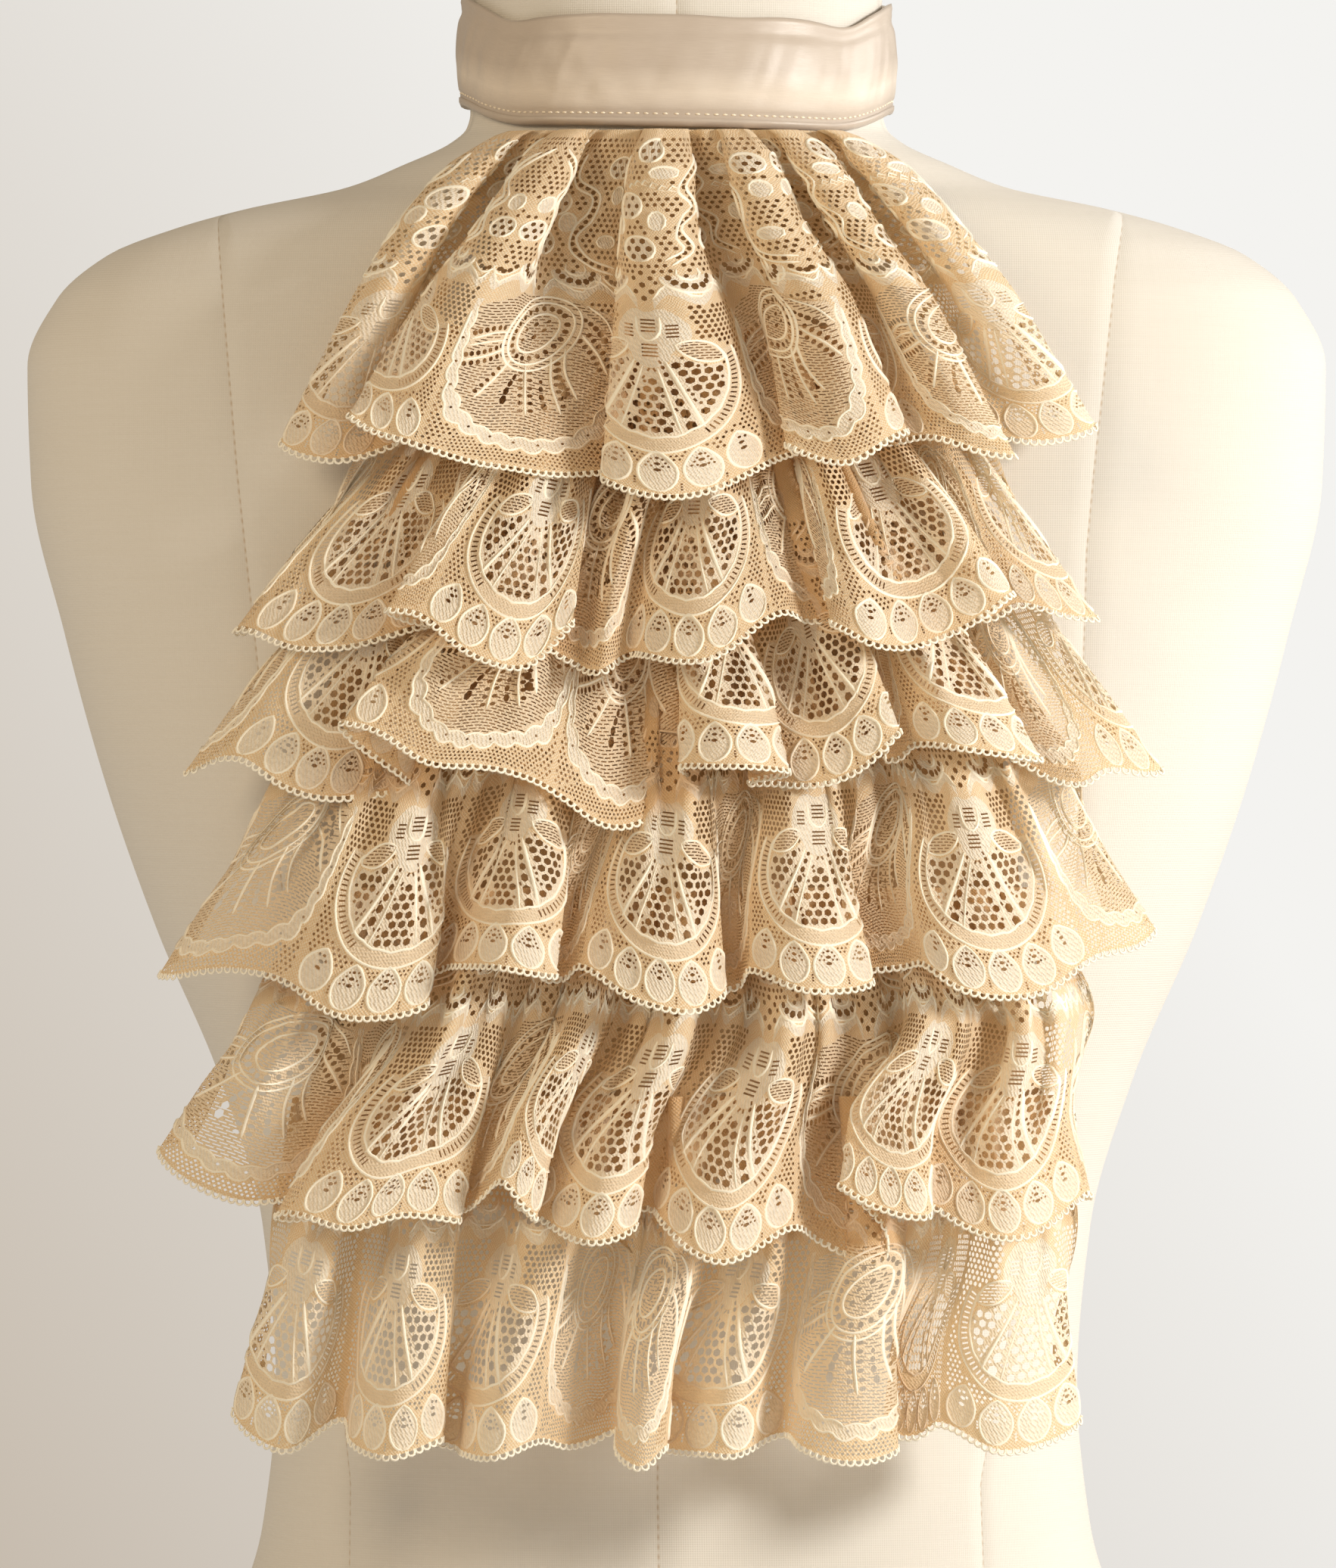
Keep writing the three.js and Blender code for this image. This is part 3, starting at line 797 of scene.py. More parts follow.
def flatCords(chart):    # the raised cords of one repeat: ridges of three points across
    points, faces = [], []
    for line, wide, high, closed in chart.cords:
        good = line[line[:, 1] < chart.worked - 0.5]
        if len(good) < 2:
            continue
        step = np.gradient(good, axis=0)
        if closed:
            step[0] = step[-1] = good[1] - good[-2]
        normal = normalsOf(step)
        taper = np.ones(len(good))
        if not closed:
            taper[0] = taper[-1] = 0.35
        base = sum(len(p) for p in points)
        for shift, lift in ((0.5, -0.08), (0.0, high), (-0.5, -0.08)):
            edge = good + normal * (shift * wide * taper)[:, None]
            points.append(np.column_stack([edge, np.where(lift > 0, lift * taper, lift)]))
        n = len(good)
        for i in range(n - 1):
            for k in (0, 1):
                a = base + k * n + i
                faces.append((a, a + n, a + n + 1, a + 1))
    return np.vstack(points), np.array(faces)


charts = {}
for full, tall, worked in ((True, "tall", "worked"), (False, "cutTall", "cutWorked")):
    charts[("fan", full)] = chartFan(laceChart[tall], laceChart[worked])
    charts[("spray", full)] = chartSpray(laceChart[tall], laceChart[worked])
flats = {key: flatLace(chart) for key, chart in charts.items()}
raised = {key: flatCords(chart) for key, chart in charts.items()}
for key in charts:
    print("charted", key, len(flats[key][1]), "cloth triangles", len(raised[key][1]) * 2, "on cords")

# ---- the tiers' own shapes ----

lowerFolds = {    # what a tier's folds are like where its own sizes don't say it
    "open": 1.4, "lap": (0.3, 0.75), "folds": 18, "foldMost": 3.8, "kept": 0.86, "roll": 0.22,
    "flute": 5.0, "fluteMiddle": 3.5, "spread": 1.0, "tuck": 0.01, "crests": None,
}
tierSizes = [
    {
        "name": "1", "gatherZ": bandFrontZ - seamGap - 0.5, "gatherHalf": 46, "open": 1.1,
        "lap": (0.16, 0.55), "folds": 12, "foldMost": 2.3, "kept": 0.92, "roll": 0.3,
        "flute": 14.5, "fluteMiddle": 5.5, "spread": 0.68, "tuck": 0.12,
        "crests": [0.05, 0.12, 0.215, 0.325, 0.475, 0.578, 0.67, 0.742, 0.81, 0.872, 0.942],
        "kinds": "ffsfsfsf", "ends": [48, 88, 146, 214, 272, 312, 350, 401],
        "hem": [
            (-98, 5, 491), (-106, 12, 488), (-91, 18.5, 484), (-75, 18.5, 486),
            (-77, 25, 489), (-87, 31, 496), (-70, 37, 485), (-45, 30, 482), (-22, 22, 478),
            (-13, 19.5, 478), (-20, 31, 478), (-2, 38, 474), (20, 32, 478), (34, 20, 486),
            (29, 30, 488), (47, 38, 482), (62, 31, 490), (53, 19, 489),
            (72, 27, 487), (90, 27, 485), (78, 18, 488), (98, 19, 489),
            (112, 14, 493), (100, 5, 495),
        ],
    },
    {
        "name": "2", "gatherZ": 521, "gatherHalf": 62,
        "kinds": "sfsfsfsfsf", "ends": [18, 68, 97, 147, 182, 234, 276, 330, 354, 387],
        "hem": [
            (-107, 5, 441), (-119, 13, 437), (-98, 22, 434), (-66, 23.5, 438),
            (-77, 32, 444), (-54, 39, 432), (-40, 37, 429), (-28, 31, 438), (-34, 24, 434),
            (-27, 23, 430), (-20, 29, 426), (-13, 23, 429), (-8, 31, 431), (8, 39, 431), (29, 32, 441),
            (35, 24, 441), (42, 24, 442), (41, 33, 440), (53, 39, 432), (70, 29, 437),
            (88, 32, 445), (91, 26, 446), (80, 22.5, 442), (98, 23, 443), (112, 17, 442),
            (103, 11, 445),
        ],
    },
    {
        "name": "3", "gatherZ": 486, "gatherHalf": 75,
        "kinds": "sffssffsfsf", "ends": [28, 78, 126, 178, 226, 284, 336, 356, 408, 434, 466],
        "hem": [
            (-117, 5, 408), (-131, 13, 401), (-116, 20, 402), (-96, 22, 395), (-71, 17.5, 393),
            (-73, 24, 400), (-90, 31, 413), (-68, 37, 404), (-48, 33, 402), (-30, 28, 391),
            (-14, 21, 387), (3, 17.5, 396), (1, 27, 400), (16, 35, 403), (30, 28, 401),
            (19, 17.5, 395), (44, 27, 400), (60, 30, 410), (55, 17.5, 405), (78, 33, 407),
            (97, 28, 404), (90, 17.5, 402), (110, 20, 398), (129, 15, 402), (115, 5, 406),
        ],
    },
    {
        "name": "4", "gatherZ": 433, "gatherHalf": 88,
        "kinds": "sffsfsfsfs", "ends": [52, 106, 164, 184, 234, 256, 308, 334, 386, 424],
        "hem": [
            (-132, 6, 349), (-139, 11.5, 346), (-135, 18, 347), (-119, 22.5, 349),
            (-92, 32, 337), (-66, 26, 339), (-70, 16, 342), (-63, 14.5, 347), (-57, 22, 350),
            (-45, 33, 350), (-32, 27, 345), (-36, 17, 346), (-31, 14, 347), (-26, 22, 347),
            (-9, 32, 341), (5, 32, 338), (13, 25, 340), (10, 16, 343), (16, 15, 345), (20, 24, 346),
            (35, 34, 344), (52, 27, 345), (45, 15, 347), (59, 18, 350), (76, 31, 343),
            (100, 28, 344), (127, 15, 360), (114, 5, 363),
        ],
    },
    {
        "name": "5", "gatherZ": 372, "gatherHalf": 96,
        "kinds": "ssfsfffsffs", "ends": [66, 100, 152, 186, 214, 272, 328, 380, 418, 472, 489],
        "hem": [
            (-130, 5.5, 300), (-139, 11, 300), (-135, 17.5, 296), (-116, 19.5, 288),
            (-90, 15, 287), (-91, 21.5, 285), (-107, 27, 283), (-105, 32.5, 282), (-88, 35, 281),
            (-72, 31, 285), (-58, 26, 280), (-64, 16.5, 284), (-57, 15, 286), (-52, 23, 288),
            (-46, 31, 291), (-37, 26, 284), (-44, 15.5, 284), (-34, 22, 281), (-22, 32, 278),
            (-11, 25, 281), (-14, 17, 283), (-8, 15, 283), (-4, 24, 281), (11, 34, 273),
            (30, 25, 278), (38, 15, 276), (54, 16, 273), (55, 22, 280), (42, 28, 290),
            (66, 34, 283), (67, 22, 284), (76, 25, 281), (90, 31, 279),
            (110, 17, 288), (101, 8, 292),
        ],
    },
    {
        "name": "6", "gatherZ": 317, "gatherHalf": 102,
        "kinds": "fffssfsff", "ends": [48, 94, 150, 184, 212, 272, 332, 350, 408],
        "hem": [
            (-110, 4, 234), (-118, 11, 231), (-104, 18, 222), (-89, 8, 227), (-86, 20, 224),
            (-76, 29, 221), (-62, 22, 222), (-65, 10, 223), (-59, 9, 223), (-56, 19, 222),
            (-47, 29, 220), (-31, 15, 223), (-17, 5, 226), (-16, 20, 222), (-9, 27, 218),
            (-3, 20, 220), (-6, 6, 222), (7, 15, 222), (15, 18, 221), (27, 7, 223), (33, 22, 222),
            (46, 29, 220), (58, 23, 222), (54, 7, 225), (68, 13, 226), (86, 23, 222),
            (107, 15, 229), (99, 5, 233),
        ],
    },
]


shadeSizes = {    # the grid that the hollows are found on, and the depths from light to full shade
    "half": 150, "columns": 76, "rows": 12, "steps": 500, "beside": 9, "lightTo": 1.5, "fullIn": 13,
    "hemColumns": 61, "hemBeside": 6, "coverFull": 7.0, "hollowMost": 0.8, "coverMost": 0.85,
}


class TierShape:    # where a point of the flat lace lies once it is gathered and hung
    def __init__(self, sizes):
        self.sizes = sizes = {**lowerFolds, **sizes}
        self.line = throughPoints(sizes["hem"], 1601)
        self.length = lengthOf(self.line)
        self.reach = max(abs(row[0]) for row in sizes["hem"])
        self.findCells()
        self.seed = int(sizes["name"])
        self.drops = np.linspace(0, 1, 21)
        self.findCrests()
        self.depths = self.amplitudes()
        self.tall = self.heightOf()

    def findCells(self):    # where each repeat of the lace starts and ends along the tier
        ends = np.array([0] + self.sizes["ends"], float)
        self.edges = ends / ends[-1] * self.length
        self.middles = (self.edges[1:] + self.edges[:-1]) / 2
        self.scales = np.diff(self.edges) / laceChart["width"]

    def acrossAt(self, run):    # how far across its own repeat a point of the tier lies
        k = np.clip(np.searchsorted(self.edges, run) - 1, 0, len(self.middles) - 1)
        return (run - self.middles[k]) / self.scales[k]

    def heightOf(self):
        drop = np.linspace(0, 1, 30)
        tall = [lengthOf(self.at(np.full(30, a), drop)) for a in (0.06, 0.25, 0.5, 0.75, 0.94)]
        return float(np.mean(tall))

    def findCrests(self):    # the flutes run from the hem's crests and hollows up to the gathers
        out = np.convolve(np.pad(self.line[:, 1], 8, "edge"), np.ones(17) / 17, "valid")
        along = np.linspace(0, 1, len(out))
        kept, kinds = [], []
        for k in range(12, len(out) - 12):
            near = out[k - 12:k + 13]
            kind = 1 if out[k] == near.max() else -1 if out[k] == near.min() else 0
            if kind == 0 or (kept and kind != kinds[-1] and abs(out[k] - out[kept[-1]]) < 3):
                continue
            if kept and kind == kinds[-1]:    # of two crests in a row the higher one counts
                kept[-1] = k if out[k] * kind > out[kept[-1]] * kind else kept[-1]
            else:
                kept.append(k)
                kinds.append(kind)
        found = along[kept]
        if self.sizes["crests"]:
            found, kinds = np.array(self.sizes["crests"]), [1]
        phase = np.arange(len(found)) * math.pi + 0.5 * math.pi * kinds[0]
        more = math.pi * 0.7
        self.crestAt = np.concatenate([[0], found, [1]])
        self.crestPhase = np.concatenate([[phase[0] - more], phase, [phase[-1] + more]])

    def folds(self, along):    # the flutes' phase, and the finer gathers' phase and strength
        main = np.interp(along, self.crestAt, self.crestPhase)
        fine = 2 * np.pi * (self.sizes["folds"] * along + 0.24 * wobble(along * 26, self.seed))
        return main, fine, 0.76 + 0.24 * wobble(along * 37, self.seed + 3)

    def amplitudes(self):    # how deep the gathers are at each height, so that the cloth keeps its length
        along = np.linspace(0, 1, 1500)
        found = []
        for drop in self.drops:
            low, high = 0.0, self.sizes["foldMost"]
            for _ in range(12):
                middle = (low + high) / 2
                self.depths = np.full(len(self.drops), middle)
                row = lengthOf(self.at(along, np.full(1500, drop)))
                if row < self.length * self.sizes["kept"]:
                    low = middle
                else:
                    high = middle
            found.append((low + high) / 2)
        return np.array(found)

    def hemAt(self, along, which):
        return np.interp(along * (len(self.line) - 1), np.arange(len(self.line)), self.line[:, which])

    def at(self, along, drop):
        s = self.sizes
        along, drop = np.clip(along, 0, 1), np.clip(drop, 0, 1.05)
        hemX, hemOut, hemZ = [self.hemAt(along, k) for k in range(3)]
        gatherX = lerp(-s["gatherHalf"], s["gatherHalf"], along)
        main, fine, strength = self.folds(along)
        free = 1 - np.clip(drop, 0, 1)
        deep = (s["flute"] + s["fluteMiddle"] * 4 * drop * free) * (1 - np.clip(drop, 0, 1) ** 3)
        deep = deep * (0.4 + 0.6 * smoothstep(drop, -0.02, s["tuck"]))
        depth = np.interp(drop, self.drops, self.depths)
        wave = np.sin(main) * deep * (0.55 + 0.45 * np.sin(main)) + np.sin(fine) * depth * strength
        seat = np.maximum(0, depth + 0.1 * deep - (seatOut - 1.0)) * free
        soft = wobble(along * 60, self.seed) * 0.3 + wobble(along * 140 + drop * 5, self.seed + 9) * 0.12
        wave = wave + seat + soft * np.sin(np.clip(drop, 0, 1) * np.pi * 0.8)
        fanX = lerp(-self.reach, self.reach, along)
        layered = drop * smoothstep(drop, *s["lap"])
        x = lerp(gatherX, fanX, np.clip(drop, 0, 1.05) ** s["spread"]) + (hemX - fanX) * layered
        x = x - (np.sin(2 * main) * deep + np.sin(2 * fine) * depth) * s["roll"] * free
        z = lerp(s["gatherZ"], hemZ, drop)
        out = seatOut + (hemOut - seatOut) * drop ** s["open"] + wave
        return np.stack([x, chestY(x, z) - out, z], -1)

    def outAt(self, along, drop):
        return seatOut + (self.hemAt(along, 1) - seatOut) * drop ** self.sizes["open"]

    def placed(self, flat):    # flat points (along, up, off the cloth) to their places in the tier
        along = flat[:, 0] / self.length
        drop = 1 - flat[:, 1] / self.tall
        here = self.at(along, drop)
        a, d = 0.35 / self.length, 0.5 / self.tall
        across = self.at(along + a, drop) - self.at(along - a, drop)
        up = self.at(along, drop - d) - self.at(along, drop + d)
        normal = np.cross(across, up)
        normal /= np.maximum(np.linalg.norm(normal, axis=1), 1e-9)[:, None]
        return moved(here + normal * flat[:, 2:3]), normal

    def shadeAt(self, flat):
        # painted shade: how darkly the lace is painted at each point, the larger of its depth behind the
        # folds beside it and how far it lies under the tier above
        along, drop = flat[:, 0] / self.length, 1 - flat[:, 1] / self.tall
        return np.maximum(self.hollowAt(along, drop) * shadeSizes["hollowMost"],
                          self.coveredAt(along, drop) * shadeSizes["coverMost"])

    def hollowAt(self, along, drop):    # how deep a point lies behind the folds beside it, 0 to 1
        s, half, columns, rows = shadeSizes, shadeSizes["half"], shadeSizes["columns"], shadeSizes["rows"]
        grid = np.linspace(0, 1, s["steps"])
        bins = np.linspace(-half, half, columns)
        tops = []
        for row in np.linspace(0, 1, rows):
            level = np.full(s["steps"], row)
            x, out = self.at(grid, level)[:, 0], self.outAt(grid, level)
            best = np.array([max(out[np.abs(x - b) < s["beside"]], default=0) for b in bins])
            tops.append(np.convolve(np.pad(best, 2, "edge"), np.ones(5) / 5, "valid"))
        tops = np.array(tops)
        x = self.at(along, drop)[:, 0]
        j = np.clip(drop, 0, 1) * (rows - 1)
        i = np.clip((x + half) / (2 * half / (columns - 1)), 0, columns - 1.01)
        j0, i0 = np.minimum(j.astype(int), rows - 2), i.astype(int)
        fj, fi = j - j0, i - i0
        top = ((tops[j0, i0] * (1 - fi) + tops[j0, i0 + 1] * fi) * (1 - fj)
               + (tops[j0 + 1, i0] * (1 - fi) + tops[j0 + 1, i0 + 1] * fi) * fj)
        behind = top - self.outAt(along, np.clip(drop, 0, 1))
        return np.clip((behind - s["lightTo"]) / s["fullIn"], 0, 1)

    def coveredAt(self, along, drop):    # how far a point lies under the tier above, 0 to 1
        if self.above is None:
            return 0 * along
        s, here, hem = shadeSizes, self.at(along, drop), self.above.line
        bins = np.linspace(-s["half"], s["half"], s["hemColumns"])
        low = np.array([min(hem[np.abs(hem[:, 0] - b) < s["hemBeside"], 2], default=999) for b in bins])
        return smoothstep(here[:, 2] - np.interp(here[:, 0], bins, low), 0.0, s["coverFull"])


tierShapes = [TierShape(sizes) for sizes in tierSizes]
for upper, lower in zip([None] + tierShapes[:-1], tierShapes):
    lower.above = upper

# ---- finishes ----

# painted shade: deep is the colour the lace and cords are darkened towards in the fold hollows and under
# the tiers; the net's ground and the sheer cloth are coloured darker than the threads to stand in for the
# shade seen through them
laceFinish = {
    "light": (1.0, 0.945, 0.82, 1), "stitched": (0.99, 0.86, 0.66, 1), "deep": (0.66, 0.36, 0.13, 1),
    "netGapShade": (0.86, 0.61, 0.34, 1), "netLight": (1.0, 0.90, 0.71, 1), "sheer": (0.95, 0.78, 0.56, 1),
    "cord": (1.0, 0.94, 0.79, 1), "through": (0.95, 0.74, 0.44, 1),
    "rough": 0.7, "cordRough": 0.6, "glow": 0.24, "threadPitch": 0.92,
}


def laceMaterial(finish):
    material, wire = newMaterial("lace")
    place, spots = clothPlace(wire), solidPlace(wire)
    across, up = axis(wire, place, 0), axis(wire, place, 1)
    weave, paintedShade = attribute(wire, "weave"), attribute(wire, "paintedShade")
    drift = noise(wire, place, 420.0, 2.0)
    threads = ((up * (2000 * math.pi / finish["threadPitch"]) + drift * 5.0).sine() * 0.5 + 0.5)
    striped = (1 - (weave * 2 - 1).size()).clamped()
    cloud = noise(wire, spots, 38.0, 3.0)
    grain = noise(wire, place, 1500.0, 2.0, 0.7)
    stitches = (across * 5200.0 + up * 2600.0 + drift * 7.0).sine() * 0.5 + 0.5
    dense = (stitches * 0.75).blend(finish["light"], finish["stitched"])
    mesh = (across * 6400.0 + drift * 9.0).sine() * (up * 6400.0 - drift * 9.0).sine()
    # the net's threads are its own pattern; the darker ground between them is painted shade seen through
    # the net
    net = (mesh * 0.55 + (grain - 0.5) * 0.9 + 0.4).clamped().blend(finish["netGapShade"], finish["netLight"])
    base = weave.clamped().blend(net, dense)
    # the sheer cloth's thread stripes are its own pattern; the darker tone between them is painted shade
    # seen through it
    base = (striped * (1 - threads * 0.6)).blend(base, finish["sheer"])
    # painted shade: the lace is darkened towards the deep colour in the fold hollows and under the tier
    # above, mixed with tone that differs at random
    shade = (paintedShade * 0.68 + (cloud - 0.5) * 0.25 + (grain - 0.5) * 0.22).clamped()
    base = shade.blend(base, finish["deep"])
    relief = threads * striped * 0.8 + grain * 0.9 + mesh * 0.5 + weave * (0.4 - stitches * 0.9)
    body = surface(wire, base, finish["rough"], bumps(wire, 0.7, 0.0003, relief), {
        "Specular IOR Level": 0.25, "Sheen Weight": 0.12, "Sheen Roughness": 0.5})
    through = wire.node("ShaderNodeBsdfTranslucent", None, {"Color": finish["through"]})
    finishMaterial(wire, wire.node("ShaderNodeMixShader", None, {0: finish["glow"], 1: body, 2: through}))
    return material


def cordMaterial(finish):
    material, wire = newMaterial("laceCord")
    spots = solidPlace(wire)
    twist = noise(wire, spots, 2600.0, 1.0)
    cloud = noise(wire, spots, 38.0, 3.0)
    paintedShade = attribute(wire, "paintedShade")
    # painted shade: the cords are darkened towards the deep colour in the fold hollows and under the tier
    # above, mixed with tone that differs at random
    shade = (paintedShade * 0.75 + (cloud - 0.5) * 0.2 + (twist - 0.5) * 0.3).clamped()
    base = shade.blend(finish["cord"], finish["deep"])
    finishMaterial(wire, surface(wire, base, finish["cordRough"], bumps(wire, 0.35, 0.0002, twist), {
        "Specular IOR Level": 0.3, "Sheen Weight": 0.1}))
    return material


laceLook = laceMaterial(laceFinish)
cordLook = cordMaterial(laceFinish)

# ---- hanging the tiers ----


def hangTier(shape):
    name = shape.sizes["name"]
    full = name == "1"
    upScale = shape.tall / laceChart["tall" if full else "cutTall"]
    flatPoints, triangles, weave, cordPoints, cordFaces = [], [], [], [], []
    flatArea, count, cordCount = 0.0, 0, 0
    for letter, middle, scale in zip(shape.sizes["kinds"], shape.middles, shape.scales):
        kind = "fan" if letter == "f" else "spray"
        points, tri, tone, area = flats[(kind, full)]
        placed = np.column_stack([points[:, 0] * scale + middle, points[:, 1] * upScale,
                                  np.zeros(len(points))])
        flatPoints.append(placed)
        triangles.append(tri + count)
        weave.append(tone)
        count += len(points)
        flatArea += area * scale * upScale
        ridge, faces = raised[(kind, full)]
        cordPoints.append(np.column_stack([ridge[:, 0] * scale + middle, ridge[:, 1] * upScale,
                                           ridge[:, 2]]))
        cordFaces.append(faces + cordCount)
        cordCount += len(ridge)
    flat, tri = np.vstack(flatPoints), np.vstack(triangles)
    weave = np.concatenate(weave)
    keys = np.round(flat[:, :2] * 200).astype(np.int64)
    _, first, back = np.unique(keys, axis=0, return_index=True, return_inverse=True)
    tri = back.ravel()[tri]
    flat = flat[first]
    good = (tri[:, 0] != tri[:, 1]) & (tri[:, 1] != tri[:, 2]) & (tri[:, 0] != tri[:, 2])
    # each point of the cloth and of the cords carries the painted shade worked out by shadeAt
    cloth = makePiece("laceTier" + name, shape.placed(flat)[0], tri[good].tolist(), laceLook, {
        "weave": ("FACE", weave[good]), "paintedShade": ("POINT", shape.shadeAt(flat))}, flat[:, :2])
    settle(cloth, "lace", "lace_tier_" + name)
    cordFlat = np.vstack(cordPoints)
    cords = makePiece("laceCords" + name, shape.placed(cordFlat)[0], np.vstack(cordFaces).tolist(),
                      cordLook, {"paintedShade": ("POINT", shape.shadeAt(cordFlat))})
    settle(cords, "lace")
    return cloth, cords, flatArea


picotSizes = {"pitch": 2.2, "radius": 1.02, "thread": 0.36, "sweep": 4.3, "slopeStep": 0.4}


def nodeTree(name, inputs):
    tree = bpy.data.node_groups.new(name, "GeometryNodeTree")
    tree.interface.new_socket("Geometry", in_out="INPUT", socket_type="NodeSocketGeometry")
    for key, value in inputs.items():
        kind = "NodeSocketInt" if isinstance(value, int) else "NodeSocketFloat"
        tree.interface.new_socket(key, in_out="INPUT", socket_type=kind).default_value = value
    tree.interface.new_socket("Geometry", in_out="OUTPUT", socket_type="NodeSocketGeometry")
    wire = Wire(tree)
    given = tree.nodes.new("NodeGroupInput")
    sockets = {item.name: Wire(tree, given.outputs[item.name])
               for item in tree.interface.items_tree if item.in_out == "INPUT"}
    return tree, wire, sockets


def alongPoints(wire, given, instance, material):    # one copy on each point, turned as it says
    facing = wire.node("GeometryNodeInputNamedAttribute", {"data_type": "FLOAT_VECTOR"},
                       {"Name": "facing"})
    spots = wire.node("GeometryNodeMeshToPoints", None, {"Mesh": given["Geometry"]})
    copies = wire.node("GeometryNodeInstanceOnPoints", None,
                       {"Points": spots, "Instance": instance, "Rotation": facing})
    solid = wire.node("GeometryNodeRealizeInstances", None, {"Geometry": copies})
    done = wire.node("GeometryNodeSetMaterial", None, {"Geometry": solid, "Material": material})
    wire.node("NodeGroupOutput", None, {0: done})


def picotTree(sizes):
    tree, wire, given = nodeTree("picots", {
        "radius": sizes["radius"] * mm, "thread": sizes["thread"] * mm, "sweep": sizes["sweep"]})
    arc = wire.node("GeometryNodeCurveArc", {"mode": "RADIUS"}, {
        "Resolution": 7, "Radius": given["radius"], "Start Angle": 1.5 * math.pi - sizes["sweep"] / 2,
        "Sweep Angle": given["sweep"]})
    ring = wire.node("GeometryNodeCurvePrimitiveCircle", {"mode": "RADIUS"},
                     {"Resolution": 4, "Radius": given["thread"]})
    loop = wire.node("GeometryNodeCurveToMesh", None,
                     {"Curve": arc, "Profile Curve": ring, "Fill Caps": True})
    smooth = wire.node("GeometryNodeSetShadeSmooth", None, {"Geometry": loop})
    alongPoints(wire, given, smooth, cordLook)
    return tree


def stitchTree(material, sizes):
    tree, wire, given = nodeTree("stitches", {
        "length": sizes["stitch"] * mm, "thread": sizes["thread"] * mm})
    ball = wire.node("GeometryNodeMeshIcoSphere", None, {"Radius": given["thread"], "Subdivisions": 1})
    stretch = wire.node("ShaderNodeCombineXYZ", None, {
        0: given["length"] / given["thread"] * 0.5, 1: 1.0, 2: 0.7})
    bead = wire.node("GeometryNodeTransform", None, {"Geometry": ball, "Scale": stretch})
    smooth = wire.node("GeometryNodeSetShadeSmooth", None, {"Geometry": bead})
    alongPoints(wire, given, smooth, material)
    return tree


def grown(name, places, across, normal, tree, material):
    # copies along a line: across is each one's own X, and normal its Z
    across = across / np.linalg.norm(across, axis=1)[:, None]
    normal = normal - across * np.sum(across * normal, axis=1)[:, None]
    normal /= np.linalg.norm(normal, axis=1)[:, None]
    side = np.cross(normal, across)
    turns = [Matrix(np.stack(own, 1).tolist()).to_euler() for own in zip(across, side, normal)]
    mesh = bpy.data.meshes.new(name)
    mesh.from_pydata((places * mm).tolist(), [], [])
    facing = mesh.attributes.new("facing", "FLOAT_VECTOR", "POINT")
    facing.data.foreach_set("vector", np.array([tuple(t) for t in turns], np.float32).ravel())
    piece = bpy.data.objects.new(name, mesh)
    bpy.context.scene.collection.objects.link(piece)
    growth = piece.modifiers.new("grow", "NODES")
    growth.node_group = tree
    for item in tree.interface.items_tree:
        if item.in_out == "INPUT" and item.name != "Geometry":
            growth[item.identifier] = item.default_value
    bpy.context.view_layer.update()
    ready = piece.evaluated_get(bpy.context.evaluated_depsgraph_get())
    solid = bpy.data.meshes.new_from_object(ready)
    piece.modifiers.remove(growth)
    piece.data = solid
    if not solid.materials:
        solid.materials.append(material)
    return piece


picots = picotTree(picotSizes)


def hangPicots(shape):
    name = shape.sizes["name"]
    count = int(shape.length / picotSizes["pitch"])
    u = (np.arange(count) + 0.5) / count * shape.length
    v = hemY(shape.acrossAt(u)) * 0.98 - 0.25
    flat = np.column_stack([u, v, np.zeros(count)])
    places, normal = shape.placed(flat)
    step = picotSizes["slopeStep"]
    slope = (hemY(shape.acrossAt(u + step / 2)) - hemY(shape.acrossAt(u - step / 2))) / step
    ahead = shape.placed(flat + np.column_stack([np.full(count, step), slope * step, np.zeros(count)]))[0]
    return settle(grown("picots" + name, places, ahead - places, normal, picots, cordLook), "lace")


hung = []
for shape in tierShapes:
    cloth, cords, flatArea = hangTier(shape)
    loops = hangPicots(shape)
    hung.append((shape, cloth, cords, loops, flatArea))
    print("tier", shape.sizes["name"], "length", round(shape.length), "height", round(shape.tall, 1),
          "repeats", len(shape.middles), "cloth", len(cloth.data.polygons),
          "cords", len(cords.data.polygons) * 2, "picots", len(loops.data.polygons) * 2)

# ---- neckband ----

bandSizes = {
    "rows": 34, "steps": 300, "face": 0.62, "rim": 0.35, "rolled": 1.012, "radius": 55,
    # satinLight is the colour of the painted sheen and of the lighter patches that differ at random
    "satin": (0.52, 0.44, 0.365, 1), "satinLight": (0.80, 0.71, 0.605, 1), "rough": 0.38, "wide": 31.0,
    "hemTurn": 2.9, "hemSteps": 200, "hemSides": 6, "stitchRadius": 57,
    "sewing": (0.95, 0.84, 0.66, 1), "sewingRough": 0.45, "thread": 0.3, "stitch": 1.5, "pitch": 2.15,
}


